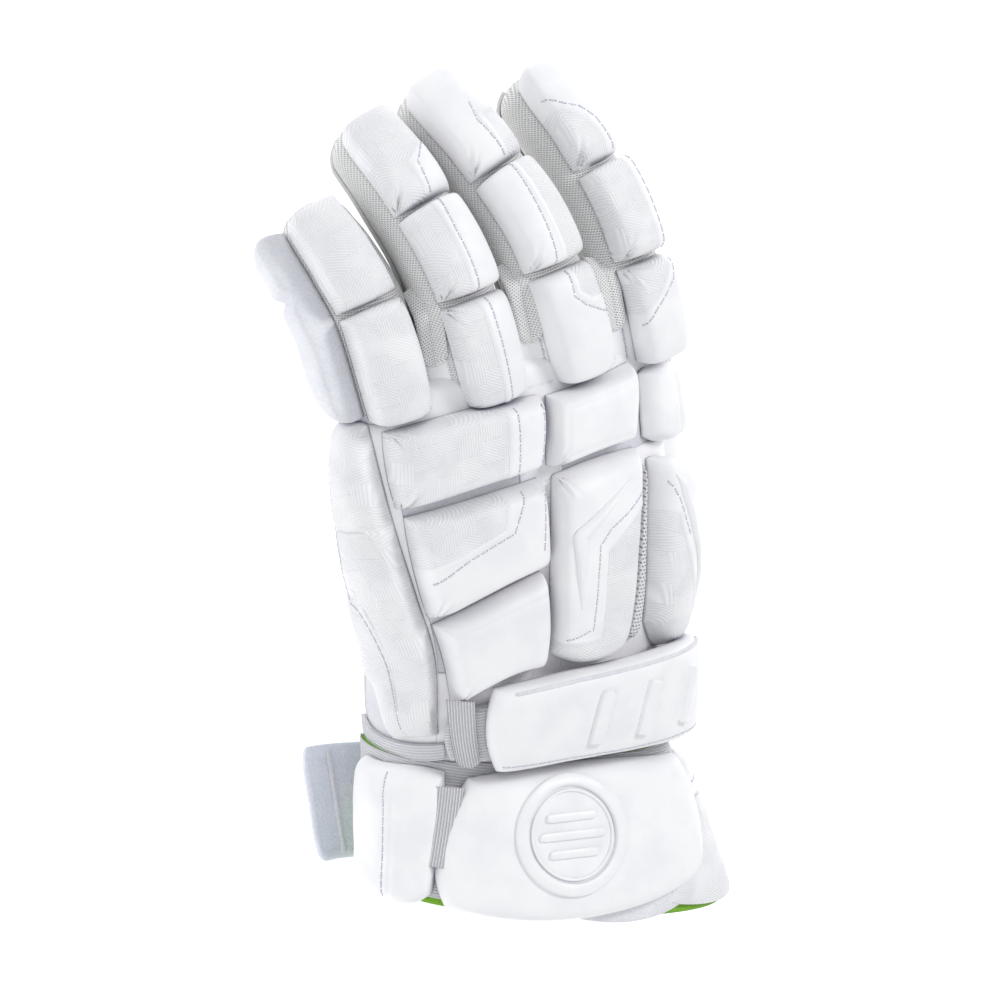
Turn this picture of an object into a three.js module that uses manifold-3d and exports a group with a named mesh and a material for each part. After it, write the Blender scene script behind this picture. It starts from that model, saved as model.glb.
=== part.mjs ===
// A left-hand lacrosse glove, lying palm down as it rests by itself.
// Millimetres. +Z is up, +Y points to the fingertips and +X to the thumb side.
// The origin is on the floor, under the heel of the palm.
import * as THREE from "three";
import Module from "manifold-3d";

const wasm = await Module();
wasm.setup();

// Hand: the knitted liner that holds the palm and carries the pads
const handLength = 172;
const knuckleWidth = 128;
const handHeight = 72;
const wristSetback = 46;
const linerWall = 2;
const linerSeam = 0.3;

// Fingers and thumb
const gussetWall = 1.8;
const fingerLength = 78;
const fingerWidth = 30;
const fingerDepth = 27;
const fingerTipLength = 11;
const thumbWidth = 33;
const thumbDepth = 27.72;
const thumbTipLength = 13;

// Leather under the palm and the fingers
const leatherWall = 1.4;
const leatherGap = 0.3;

// Foam pads: full height, height at the sewn rim, and clearance to what carries them
const fingerPadHeight = 11;
const thumbPadHeight = 6;
const backPadHeight = 13;
const padRim = 1.4;
const seatGap = 0.6;
const padSeam = 1.2;

// Side panel of the little-finger side, and the knitted hem round the wrist
const sidePanelHeight = 9.3;
const sideLeatherHeight = 12.5;
const hemWall = 1.8;

// Wrist strap, the padded backing under it and the webbing tab beside it
const strapHeight = 11;
const backingHeight = 7;
const tabWall = 1.6;

// Cuff
const cuffLength = 66;
const cuffWidth = 150;
const cuffHeight = 84;
const cuffSetback = 40;
const cuffPadHeight = 10.5;
const cuffPadLift = 1.8;
const wingHeight = 8;
const radialWingHeight = 5;
const cuffLiningWall = 1.5;
const closureWidth = 48;
const closureWall = 1.4;
const closureSetback = 37;

// Rubber badge and ribs
const badgeDiameter = 47;
const badgeBand = 5;
const badgeHeight = 1.8;
const ribHeight = 2.2;
const barHeight = 2.8;

const floorUnderLiner = leatherGap + leatherWall;

const materials = {
  leather: { color: 0xf1f1f3, roughness: 0.48, metalness: 0 },
  mesh: { color: 0xd6d6d4, roughness: 0.9, metalness: 0 },
  knit: { color: 0xdcdade, roughness: 0.95, metalness: 0 },
  palm: { color: 0xe9e9e8, roughness: 0.85, metalness: 0 },
  rubber: { color: 0xf8f8f8, roughness: 0.4, metalness: 0 },
  webbing: { color: 0xd9d9d9, roughness: 0.9, metalness: 0 },
  lining: { color: 0x7fb23a, roughness: 0.9, metalness: 0 },
  loop: { color: 0xe4e8f0, roughness: 1, metalness: 0 },
  silver: { color: 0xb9babd, roughness: 0.5, metalness: 0.3 },
};

const degrees = Math.PI / 180;
const floorNormal = new THREE.Vector3(0, 0, 1);
const forwardAxis = new THREE.Vector3(0, 1, 0);

// A smooth curve through one column of a table, at t from 0 to 1
function column(rows, name, t) {
  const last = rows.length - 1;
  const place = Math.min(Math.max(t, 0), 1) * last;
  const i = Math.min(Math.floor(place), last - 1);
  const f = place - i;
  const value = (k) => rows[Math.min(Math.max(k, 0), last)][name] ?? 0;
  const [a, b, c, d] = [value(i - 1), value(i), value(i + 1), value(i + 2)];
  const before = i > 0 ? (c - a) / 2 : c - b;
  const after = i + 1 < last ? (d - b) / 2 : c - b;
  return (
    b * (1 + 2 * f) * (1 - f) ** 2 +
    before * f * (1 - f) ** 2 +
    c * f * f * (3 - 2 * f) +
    after * f * f * (f - 1)
  );
}

const signedPower = (value, power) => Math.sign(value) * Math.abs(value) ** power;

// A tube through sections x, y, z with half-widths and heights. Its point(t, angle, offset) runs
// t from 0 to 1 along the sections and from 1 to 2 over the rounded tip. Angle 0 is the thumb
// side and 90 the back of the hand. What would sink under the floor is flattened on it.
function makeTube({ rows, squareness = 2.6, tipLength = 0, floor = 0, upright = false, locateAlong }) {
  const at = (name, t) => column(rows, name, t);
  const centre = (t) => new THREE.Vector3(at("x", t), at("y", t), at("z", t));
  function frame(t) {
    const step = 0.01;
    const forward = upright
      ? forwardAxis.clone()
      : centre(Math.min(t + step, 1)).sub(centre(Math.min(t + step, 1) - step)).normalize();
    const up = floorNormal.clone().addScaledVector(forward, -forward.z).normalize();
    up.applyAxisAngle(forward, at("roll", t) * degrees);
    return { forward, up, side: new THREE.Vector3().crossVectors(forward, up) };
  }
  function point(t, angle, offset = 0) {
    const s = Math.min(Math.max(t, 0), 1);
    const tip = Math.max(t - 1, 0) * 90 * degrees;
    const { forward, up, side } = frame(s);
    const [c, n] = [Math.cos(angle * degrees), Math.sin(angle * degrees)];
    const across = signedPower(c, 2 / squareness);
    const high = signedPower(n, 2 / squareness);
    const rise = n > 0 ? at("up", s) : at("down", s);
    const p = centre(s)
      .addScaledVector(side, (at("half", s) + offset) * across * Math.cos(tip))
      .addScaledVector(up, (rise + offset) * high * Math.cos(tip))
      .addScaledVector(forward, (tipLength + offset) * Math.sin(tip));
    p.z -= at("arch", s) * across * across * Math.cos(tip);
    p.y -= at("slant", s) * (at("half", s) + offset) * across;
    p.z = Math.max(p.z, floor - offset);
    return p;
  }
  // The way that a pad stands up from the tube: straight up at spread 0, square to it at spread 1
  function away(t, angle, spread = 0) {
    const tip = Math.max(t - 1, 0) * 90 * degrees;
    const { forward, up, side } = frame(Math.min(t, 1));
    const [c, n] = [Math.cos(angle * degrees), Math.sin(angle * degrees)];
    const level = spread * signedPower(c, 2 - 2 / squareness);
    const rise = Math.max(signedPower(n, 2 - 2 / squareness), spread > 0 ? -1 : 0.05);
    return new THREE.Vector3()
      .addScaledVector(side, level)
      .addScaledVector(up, spread > 0 ? rise : 1)
      .normalize()
      .multiplyScalar(Math.cos(tip))
      .addScaledVector(forward, Math.sin(tip));
  }
  // From a distance along +Y and a share of the half-width, the tube's own t and angle. A share
  // past 1 goes on round the side to the underside.
  function locate(y, share) {
    let [low, high] = [0, 1];
    for (let k = 0; k < 24; k++) {
      const middle = (low + high) / 2;
      if (at("y", middle) < y) low = middle;
      else high = middle;
    }
    return [low, sideAngle(share, squareness)];
  }
  const place = locateAlong
    ? (share, across) => locate(locateAlong(share), across)
    : (t, across) => [t, sideAngle(across, squareness)];
  return { point, away, frame, centre, place };
}

function sideAngle(share, squareness = 2.6) {
  if (Math.abs(share) > 1) return share > 0 ? (1 - share) * 90 : 180 - (1 + share) * 90;
  return Math.acos(signedPower(share, squareness / 2)) / degrees;
}

// A closed solid from shared points and triangles, turned right way out
function solidFrom(points, triangles) {
  let volume = 0;
  for (const [a, b, c] of triangles)
    volume += points[a].dot(new THREE.Vector3().crossVectors(points[b], points[c]));
  const turned = volume > 0 ? triangles : triangles.map(([a, b, c]) => [a, c, b]);
  return new wasm.Manifold(
    new wasm.Mesh({
      numProp: 3,
      vertProperties: new Float32Array(points.flatMap((p) => [p.x, p.y, p.z])),
      triVerts: new Uint32Array(turned.flat()),
    }),
  );
}

const quad = (a, b, c, d) => [
  [a, b, c],
  [a, c, d],
];

// The inside of a tube from one place to another, as rings with a cap at each end
function tubeSolid(tube, offset, from, to, around, steps) {
  const points = [];
  const triangles = [];
  const ring = (k, j) => k * around + ((j + around) % around);
  for (let k = 0; k <= steps; k++) {
    const t = from + ((to - from) * k) / steps;
    for (let j = 0; j < around; j++)
      points.push(tube.point(Math.min(t, 1.94), (360 * (j + 0.5)) / around, offset));
  }
  for (let k = 0; k < steps; k++)
    for (let j = 0; j < around; j++)
      triangles.push(...quad(ring(k, j), ring(k, j + 1), ring(k + 1, j + 1), ring(k + 1, j)));
  for (const k of [0, steps]) {
    const middle = new THREE.Vector3();
    for (let j = 0; j < around; j++) middle.addScaledVector(points[ring(k, j)], 1 / around);
    const hub = points.push(middle) - 1;
    for (let j = 0; j < around; j++) {
      const [a, b] = k ? [ring(k, j), ring(k, j + 1)] : [ring(k, j + 1), ring(k, j)];
      triangles.push([hub, a, b]);
    }
  }
  return solidFrom(points, triangles);
}

// A closed sheet between two surfaces of (u, v), each from -1 to 1, finer near its border
function sheetSolid(lower, upper, stepsU, stepsV) {
  const points = [];
  const triangles = [];
  const spaced = (k, steps) => Math.sin(((2 * k) / steps - 1) * 90 * degrees);
  const index = (layer, i, j) => (layer * (stepsU + 1) + i) * (stepsV + 1) + j;
  for (const surface of [lower, upper])
    for (let i = 0; i <= stepsU; i++)
      for (let j = 0; j <= stepsV; j++)
        points.push(surface(spaced(i, stepsU), spaced(j, stepsV)));
  for (const layer of [0, 1])
    for (let i = 0; i < stepsU; i++)
      for (let j = 0; j < stepsV; j++) {
        const corners = [
          index(layer, i, j),
          index(layer, i + 1, j),
          index(layer, i + 1, j + 1),
          index(layer, i, j + 1),
        ];
        triangles.push(...quad(...(layer ? corners : corners.reverse())));
      }
  const border = [];
  for (let i = 0; i < stepsU; i++) border.push([i, 0]);
  for (let j = 0; j < stepsV; j++) border.push([stepsU, j]);
  for (let i = stepsU; i > 0; i--) border.push([i, stepsV]);
  for (let j = stepsV; j > 0; j--) border.push([0, j]);
  border.forEach(([i, j], k) => {
    const [ni, nj] = border[(k + 1) % border.length];
    triangles.push(...quad(index(0, i, j), index(0, ni, nj), index(1, ni, nj), index(1, i, j)));
  });
  return solidFrom(points, triangles);
}

// How full a pad is: 1 in its middle, falling to 0 at its sewn rim
const fullness = (u, v, edge = 7) => Math.sqrt((1 - Math.abs(u) ** edge) * (1 - Math.abs(v) ** edge));

const blend = (a, b, share) => a + (b - a) * share;

// Where (u, v) falls on a tube. near and far are the two ends, each at its left, middle and right;
// left and right are the two sides, each at the near and the far end, as shares of the half-width.
function makePatch(tube, { near, far, left, right, rounding = 0.12 }) {
  const bow = ([a, b, c], v) => b + ((c - a) / 2) * v + ((a + c) / 2 - b) * v * v;
  return (u, v) => {
    const ru = u * Math.sqrt(1 - (rounding * v * v) / 2);
    const rv = v * Math.sqrt(1 - (rounding * u * u) / 2);
    const along = blend(bow(near, rv), bow(far, rv), (ru + 1) / 2);
    const edges = [left, right].map(([a, b]) => blend(a, b, (ru + 1) / 2));
    return tube.place(along, blend(...edges, (rv + 1) / 2));
  };
}

// A foam pad sewn on a tube: its sole follows the tube and its top is crowned
function padShape(tube, place, { height, seat = seatGap, spread = 0, rim = padRim, edge = 7 }) {
  const patch = makePatch(tube, place);
  const sole = (u, v) => tube.point(...patch(u, v), seat);
  const top = (u, v, lift = 0) => {
    const [t, angle] = patch(u, v);
    const rise = rim + (height - rim) * fullness(u, v, edge) + lift;
    return sole(u, v).addScaledVector(tube.away(t, angle, spread), rise);
  };
  return { sole, top, patch };
}

const pads = {};
const group = new THREE.Group();

function addPiece(name, solid, material) {
  const { numProp, vertProperties, triVerts } = solid.getMesh();
  const geometry = new THREE.BufferGeometry();
  const position = new Float32Array((vertProperties.length / numProp) * 3);
  for (let i = 0; i * numProp < vertProperties.length; i++)
    position.set(vertProperties.subarray(i * numProp, i * numProp + 3), i * 3);
  geometry.setAttribute("position", new THREE.BufferAttribute(position, 3));
  geometry.setIndex(new THREE.BufferAttribute(new Uint32Array(triVerts), 1));
  geometry.computeVertexNormals();
  const mesh = new THREE.Mesh(geometry, new THREE.MeshStandardMaterial(materials[material]));
  mesh.name = name;
  group.add(mesh);
  return solid;
}

function addPad(name, tube, place, form, material, steps = [6, 6], cutters = []) {
  const shape = padShape(tube, place, form);
  pads[name] = shape;
  let solid = sheetSolid(shape.sole, shape.top, ...steps);
  for (const cutter of cutters) solid = solid.subtract(cutter);
  return addPiece(name, solid, material);
}

const largest = (solid) =>
  solid.decompose().reduce((best, body) => (body.volume() > best.volume() ? body : best));

// Hand sections from the wrist to the knuckles, as shares of the hand's length, width and height
const handSections = [
  { along: -0.06, side: -0.0066, rise: 0.46, half: 0.4366, up: 0.38, down: 0.44, arch: 0.04 },
  { along: 0.14, side: 0.0034, rise: 0.49, half: 0.4566, up: 0.43, down: 0.53, arch: 0.05 },
  { along: 0.331, side: 0.0456, rise: 0.55, half: 0.4594, up: 0.42, down: 0.62, arch: 0.06 },
  { along: 0.488, side: 0.0451, rise: 0.64, half: 0.4799, up: 0.37, down: 0.33, arch: 0.08 },
  { along: 0.669, side: 0.0496, rise: 0.73, half: 0.5004, up: 0.28, down: 0.25, arch: 0.11 },
  { along: 0.843, side: 0.0632, rise: 0.76, half: 0.5018, up: 0.22, down: 0.23, arch: 0.15 },
  { along: 0.919, side: 0.0582, rise: 0.755, half: 0.4868, up: 0.2, down: 0.21, arch: 0.16 },
];
const handTipLength = 10;
const hand = makeTube({
  rows: handSections.map((row) => ({
    x: row.side * knuckleWidth,
    y: row.along * handLength - wristSetback,
    z: row.rise * handHeight,
    half: row.half * knuckleWidth,
    up: row.up * handHeight,
    down: row.down * handHeight,
    arch: row.arch * handHeight,
  })),
  tipLength: handTipLength,
  floor: floorUnderLiner,
  upright: true,
  locateAlong: (share) => share * handLength - wristSetback,
});

// Fingers: side and forward are shares of the knuckle width and the hand's length, rise of the
// hand's height. reach, drop and lean are how far the tip lies forward, down and sideways, as
// shares of the longest finger's length. roll is in degrees.
const fingers = [
  {
    name: "pinky", side: -0.311, forward: 0.9724, rise: 0.63,
    reach: 0.671, drop: 0.2849, lean: -0.1085, width: 1.0215, roll: -6,
  },
  {
    name: "ring", side: -0.07, forward: 0.988, rise: 0.76,
    reach: 0.956, drop: 0.4565, lean: -0.1689, width: 1.0257, roll: -2,
  },
  {
    name: "middle", side: 0.215, forward: 1.0015, rise: 0.785,
    reach: 1.0217, drop: 0.5199, lean: -0.2478, width: 1.0136, roll: 2,
  },
  {
    name: "index", side: 0.485, forward: 0.9956, rise: 0.69,
    reach: 0.96, drop: 0.3937, lean: -0.165, width: 0.9747, roll: 8,
  },
];
const fingerCurl = [
  { reach: -0.38, drop: 0.1, lean: -0.2, girth: 0.88 },
  { reach: 0, drop: 0, lean: 0, girth: 1 },
  { reach: 0.46, drop: 0.2, lean: 0.26, girth: 1 },
  { reach: 0.79, drop: 0.6, lean: 0.68, girth: 0.96 },
  { reach: 1, drop: 1, lean: 1, girth: 0.88 },
];

function fingerTube(finger) {
  const [x, y, z] = [
    finger.side * knuckleWidth,
    finger.forward * handLength - wristSetback,
    finger.rise * handHeight,
  ];
  return makeTube({
    rows: fingerCurl.map((row) => ({
      x: x + row.lean * finger.lean * fingerLength,
      y: y + row.reach * finger.reach * fingerLength,
      z: z - row.drop * finger.drop * fingerLength,
      half: (row.girth * finger.width * fingerWidth) / 2,
      up: (row.girth * fingerDepth) / 2,
      down: (row.girth * fingerDepth) / 2,
      roll: finger.roll,
    })),
    squareness: 2.5,
    tipLength: fingerTipLength,
    floor: floorUnderLiner,
  });
}

// Thumb: tucked under the index side, its rows as shares of the hand's length, width and height
const thumbRows = [
  { along: 0.1395, side: 0.36, rise: 0.35, girth: 0.86 },
  { along: 0.3453, side: 0.49, rise: 0.27, girth: 1 },
  { along: 0.5374, side: 0.56, rise: 0.225, girth: 1 },
  { along: 0.7021, side: 0.56, rise: 0.205, girth: 0.96 },
  { along: 0.8256, side: 0.52, rise: 0.2, girth: 0.88 },
];
const thumb = makeTube({
  rows: thumbRows.map((row) => ({
    x: row.side * knuckleWidth,
    y: row.along * handLength - wristSetback,
    z: row.rise * handHeight,
    half: (row.girth * thumbWidth) / 2,
    up: (row.girth * thumbDepth) / 2,
    down: (row.girth * thumbDepth) / 2,
  })),
  squareness: 2.5,
  tipLength: thumbTipLength,
  floor: floorUnderLiner,
});

const digits = fingers.map((finger) => ({ name: finger.name, tube: fingerTube(finger) }));
digits.push({ name: "thumb", tube: thumb });
const tubeOf = (name) => digits.find((digit) => digit.name === name).tube;

// Liner of the hand: hollow, open at the wrist and into each finger
const wristOpening = 0.06;
const handAround = 20;
const handSteps = 8;
const fingerAround = 10;
const fingerSteps = 6;
const handBlank = (offset) => tubeSolid(hand, offset, 0, 2, handAround, handSteps);
const digitBlank = (tube, offset) => tubeSolid(tube, offset, 0, 2, fingerAround, fingerSteps);
const wristCut = tubeSolid(hand, -linerWall, 0, wristOpening, handAround, 1).translate([0, -1, 0]);
const handTrim = handBlank(leatherGap);
let liner = handBlank(0).subtract(handBlank(-linerWall)).subtract(wristCut);
for (const { tube } of digits) liner = liner.subtract(digitBlank(tube, -gussetWall));

// A seam along both sides parts the liner in a back and a palm half
const seamSlope = 0.13;
const sideSeam = new THREE.Plane().setFromNormalAndCoplanarPoint(
  new THREE.Vector3(0, -seamSlope, 1).normalize(),
  hand.centre(0),
);
const linerHalf = (side) =>
  liner.trimByPlane(
    sideSeam.normal.clone().multiplyScalar(side).toArray(),
    linerSeam / 2 - side * sideSeam.constant,
  );
addPiece("liner_back", largest(linerHalf(1)), "mesh");
addPiece("liner_palm", largest(linerHalf(-1)), "mesh");

// Gussets: the tube of mesh round each finger, open into the hand
const digitTrims = digits.map(({ tube }) => digitBlank(tube, leatherGap));
digits.forEach(({ name, tube }, k) => {
  let gusset = digitBlank(tube, 0).subtract(digitBlank(tube, -gussetWall)).subtract(handTrim);
  if (k > 0) gusset = gusset.subtract(digitTrims[k - 1]);
  addPiece(`${name}_gusset`, largest(gusset), "mesh");
});

// Leather on the underside of each finger and of the palm
function leatherSheet(tube, place, steps) {
  const patch = makePatch(tube, { rounding: 0, ...place });
  const layer = (offset) => (u, v) => tube.point(...patch(u, v), offset);
  return sheetSolid(layer(-linerWall), layer(leatherGap + leatherWall), ...steps);
}
const even = (value) => [value, value, value];
const undersides = digits.map(({ tube }) => {
  const ends = { near: even(0.18), far: even(1.7) };
  return leatherSheet(tube, { ...ends, left: [-1.3, -1.3], right: [-2.7, -2.7] }, [5, 3]);
});
const palmOutside = handBlank(2 * leatherGap + leatherWall);
digits.forEach(({ name }, k) => {
  let leather = undersides[k].subtract(digitTrims[k]).subtract(palmOutside);
  digitTrims.forEach((trim, other) => {
    if (other !== k) leather = leather.subtract(trim);
  });
  addPiece(`${name}_leather`, largest(leather), "palm");
});
const palmPlace = { near: even(0.06), far: even(0.915), left: [-1.36, -1.36], right: [-2.7, -2.7] };
let palm = leatherSheet(hand, palmPlace, [5, 8]);
for (const trim of [handTrim, ...digitTrims, digitBlank(thumb, 4 * leatherGap + leatherWall)])
  palm = palm.subtract(trim);
addPiece("palm_leather", largest(palm), "palm");

// Pads along each finger: their ends in the tube's t, and their sides as shares of its half-width
const fingerPads = [
  { finger: "pinky", left: -0.86, right: 0.67, ends: [0.094, 0.511, 1.162] },
  { finger: "ring", left: -0.7, right: 0.94, ends: [0.12, 0.394, 0.646, 1.194] },
  { finger: "middle", left: -0.76, right: 0.84, ends: [0.116, 0.387, 0.649, 1.21], seat: 0.5 },
  { finger: "index", left: -0.64, right: 0.81, ends: [0.081, 0.362, 0.618, 1.287] },
  { finger: "thumb", left: -0.88, right: 0.88, ends: [0.42, 0.72, 1.5], height: thumbPadHeight },
];
const padNames = { 2: ["base", "tip"], 3: ["base", "middle", "tip"] };
const knuckleTrim = handBlank(seatGap);
for (const { finger, left, right, ends, height = fingerPadHeight, seat = seatGap } of fingerPads)
  padNames[ends.length - 1].forEach((part, k) => {
    const place = {
      near: even(ends[k] + padSeam / 200),
      far: even(ends[k + 1] - padSeam / 200),
      left: [left, left],
      right: [right, right],
    };
    const cutters = finger === "thumb" ? [palmOutside, digitTrims[4]] : k ? [] : [knuckleTrim];
    addPad(`${finger}_${part}_pad`, tubeOf(finger), place, { height, seat }, "leather", [5, 5], cutters);
  });

// Leather down the outer side of the little finger
const outerSide = {
  near: [0.1, 0.09, 0.1], far: [1.3, 1.25, 1.28], left: [-1.25, -1.24], right: [-0.89, -0.93],
};
const outerForm = { height: sideLeatherHeight, spread: 1 };
const outerTrims = [knuckleTrim, digitTrims[0]];
addPad("pinky_side_leather", tubeOf("pinky"), outerSide, outerForm, "leather", [7, 4], outerTrims);

// Pads on the back of the hand. Along the hand the ends are shares of its length, and across it
// the sides are shares of its half-width.
const backPads = [
  {
    name: "knuckle_pad_ulnar",
    near: [0.692, 0.724, 0.73], far: [0.865, 0.884, 0.881],
    left: [-0.882, -0.9], right: [-0.054, 0.026],
  },
  {
    name: "knuckle_pad_radial",
    near: [0.719, 0.734, 0.725], far: [0.875, 0.876, 0.884],
    left: [0.005, 0.057], right: [0.596, 0.694],
  },
  {
    name: "knuckle_pad_side",
    near: [0.707, 0.679, 0.679], far: [0.846, 0.852, 0.828],
    left: [0.711, 0.734], right: [1.0, 1.0],
    height: 10, spread: 1,
  },
  {
    name: "back_pad_ulnar_upper",
    near: [0.431, 0.488, 0.514], far: [0.677, 0.692, 0.705],
    left: [-0.829, -0.851], right: [-0.078, -0.042],
  },
  {
    name: "back_pad_ulnar_lower",
    near: [0.226, 0.276, 0.272], far: [0.419, 0.463, 0.497],
    left: [-0.724, -0.818], right: [-0.17, -0.103],
  },
  {
    name: "back_pad_radial",
    near: [0.294, 0.252, 0.258], far: [0.703, 0.706, 0.701],
    left: [-0.116, 0.035], right: [0.434, 0.648],
  },
  {
    name: "back_pad_radial_side",
    near: [0.281, 0.202, 0.212], far: [0.662, 0.642, 0.593],
    left: [0.663, 0.726], right: [1.0, 0.985],
    height: 13, spread: 1,
  },
  {
    name: "vent_mesh",
    near: [0.268, 0.262, 0.262], far: [0.65, 0.65, 0.65],
    left: [0.5, 0.69], right: [0.6, 0.7],
    height: 5, steps: [4, 2], material: "silver",
  },
  {
    name: "side_panel",
    near: [0.142, 0.158, 0.146], far: [0.809, 0.878, 0.893],
    left: [-0.958, -1.195], right: [-0.765, -0.94],
    height: sidePanelHeight, spread: 1, steps: [8, 4],
  },
];
for (const { name, height = backPadHeight, spread = 0, steps = [6, 6], material, ...place } of backPads) {
  const trims = spread ? [handTrim, digitTrims[3]] : [handTrim];
  addPad(name, hand, place, { height, spread }, material ?? "leather", steps, trims);
}

// A raised rib on a pad: a path of places on the pad, each with its half-width in millimetres
const ribSeat = 0.8;
const ribTaper = 0.7;
function ribSolid(shape, path, height, steps) {
  const onPad = (t, lift) => {
    const share = Math.min(Math.max(t, 0), 1);
    return shape.top(column(path, "u", share), column(path, "v", share), lift);
  };
  const way = (t, lift, v) => {
    const forward = onPad(t + 0.02, lift).sub(onPad(t - 0.02, lift)).normalize();
    const across = new THREE.Vector3().crossVectors(forward, floorNormal).normalize();
    return onPad(t, lift).addScaledVector(across, v * column(path, "half", t));
  };
  const layer = (lift, shrink) => (u, v) => way((u + 1) / 2, lift, v * shrink);
  return sheetSolid(layer(ribSeat, 1), layer(ribSeat + height, ribTaper), steps, 2);
}
const chevron = [
  { u: 0.81, v: 0.54, half: 0.6 },
  { u: 0.6, v: -0.2, half: 2.4 },
  { u: 0.4, v: -0.64, half: 3.2 },
  { u: 0.15, v: -0.58, half: 2.4 },
  { u: -0.42, v: -0.52, half: 0.6 },
];
addPiece("back_chevron", ribSolid(pads.back_pad_radial, chevron, ribHeight, 10), "rubber");

// Knitted hem round the little-finger side of the wrist
const hemPlace = {
  near: [0.125, 0.1, 0.095], far: [0.16, 0.14, 0.135],
  left: [-1.2, -1.2], right: [-0.73, -0.73],
};
const hemForm = { height: hemWall, spread: 1, rim: hemWall, seat: leatherGap };
addPad("wrist_hem", hand, hemPlace, hemForm, "knit", [1, 6], [handTrim]);

// Padded backing over the wrist, and the strap across it with three plain raised bars
const backingPlace = {
  near: [0.1, 0.035, -0.03], far: [0.205, 0.22, 0.175],
  left: [-0.72, -0.72], right: [0.99, 0.99],
};
const backingForm = { height: backingHeight, spread: 1, rim: backingHeight - 2, edge: 9 };
addPad("wrist_backing", hand, backingPlace, backingForm, "knit", [4, 8], [handTrim]);
const strapSeat = seatGap + backingHeight + leatherGap;
const strapPlace = {
  near: [0.06, 0.032, -0.049], far: [0.269, 0.248, 0.209],
  left: [-0.478, -0.504], right: [0.99, 0.972], rounding: 0.2,
};
const strapForm = { height: strapHeight, spread: 1, seat: strapSeat, rim: 2 };
const strap = addPad("wrist_strap", hand, strapPlace, strapForm, "leather", [5, 10]);
[-0.2, 0.2, 0.6].forEach((place, k) => {
  const bar = [{ u: -0.55, v: place, half: 3 }, { u: 0.55, v: place + 0.12, half: 3 }];
  const solid = ribSolid(pads.wrist_strap, bar, barHeight, 4).subtract(strap);
  addPiece(`strap_bar_${k + 1}`, largest(solid), "rubber");
});
const tabPlace = {
  near: [0.102, 0.085, 0.093], far: [0.253, 0.245, 0.239],
  left: [-0.65, -0.71], right: [-0.52, -0.56], rounding: 0,
};
const tabForm = { height: tabWall, rim: tabWall, spread: 1, seat: strapSeat };
addPad("strap_tab", hand, tabPlace, tabForm, "webbing", [3, 2]);

// Cuff, from its rim to the wrist: shares of its length, width and height
const cuffSections = [
  { along: 0.0, side: -0.005, rise: 0.5, half: 0.465, up: 0.465, down: 0.48, arch: 0.02, slant: 0.32 },
  { along: 0.5, side: -0.008, rise: 0.45, half: 0.43, up: 0.41, down: 0.44, arch: 0.03, slant: 0.27 },
  { along: 1.0, side: -0.004, rise: 0.4, half: 0.396, up: 0.338, down: 0.39, arch: 0.04, slant: 0.235 },
];
const rimSlant = cuffSections[0].slant;
const cuff = makeTube({
  rows: cuffSections.map((row) => ({
    x: row.side * cuffWidth,
    y: (row.along - 1) * cuffLength - cuffSetback,
    z: row.rise * cuffHeight,
    half: row.half * cuffWidth,
    up: row.up * cuffHeight,
    down: row.down * cuffHeight,
    arch: row.arch * cuffHeight,
    slant: row.slant,
  })),
  floor: floorUnderLiner,
  upright: true,
  locateAlong: (share) => (share - 1) * cuffLength - cuffSetback,
});
const liningPlace = {
  near: [0.1, 0.07, 0.1], far: even(1), left: [-1.3, -1.3], right: [1.3, 1.3], rounding: 0,
};
const liningForm = { height: cuffLiningWall, rim: cuffLiningWall, spread: 1, seat: 0 };
const liningSteps = [3, 14];
const hemClearance = 3;
const hemTrim = handBlank(hemWall + hemClearance);
addPad("cuff_lining", cuff, liningPlace, liningForm, "lining", liningSteps, [hemTrim]);
const cuffSeat = cuffLiningWall + leatherGap;
const lining = pads.cuff_lining;
const liningTrim = sheetSolid(
  (u, v) => lining.top(u, v, -wingHeight),
  (u, v) => lining.top(u, v, leatherGap),
  ...liningSteps,
);
const cuffPads = [
  {
    name: "cuff_main_pad",
    near: [0.043, 0.102, 0.333], far: [0.949, 0.982, 0.966],
    left: [-0.919, -0.67], right: [0.834, 0.977],
    height: cuffPadHeight, lift: cuffPadLift, steps: [8, 8],
  },
  {
    name: "cuff_wing_ulnar",
    near: [0.152, 0.077, 0.148], far: [0.943, 0.951, 0.952],
    left: [-1.059, -1.019], right: [-0.848, -0.693],
    height: wingHeight, spread: 1,
  },
  {
    name: "cuff_wing_radial",
    near: [0.12, 0.1, 0.09], far: [0.9, 0.9, 0.92],
    left: [0.4, 1.0], right: [1.2, 1.15],
    height: radialWingHeight, spread: 1, steps: [5, 5],
  },
];

// The wings are cut by the lining and by the main pad, which is moved a gap to each side and down
const cuffRounding = 0.22;
const aroundSolid = (solid, gap) =>
  [[gap, 0, 0], [-gap, 0, 0], [0, 0, -gap]].map((move) => solid.translate(move));
let wingCutters = [liningTrim];
for (const { name, height, lift = 0, spread = 0, steps = [6, 5], ...place } of cuffPads) {
  const form = { height, spread, seat: cuffSeat + leatherGap + lift };
  const cutters = spread ? wingCutters : [];
  const patch = { rounding: cuffRounding, ...place };
  const solid = addPad(name, cuff, patch, form, "leather", steps, cutters);
  if (!spread) wingCutters = [liningTrim, ...aroundSolid(solid, leatherGap)];
}

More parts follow.
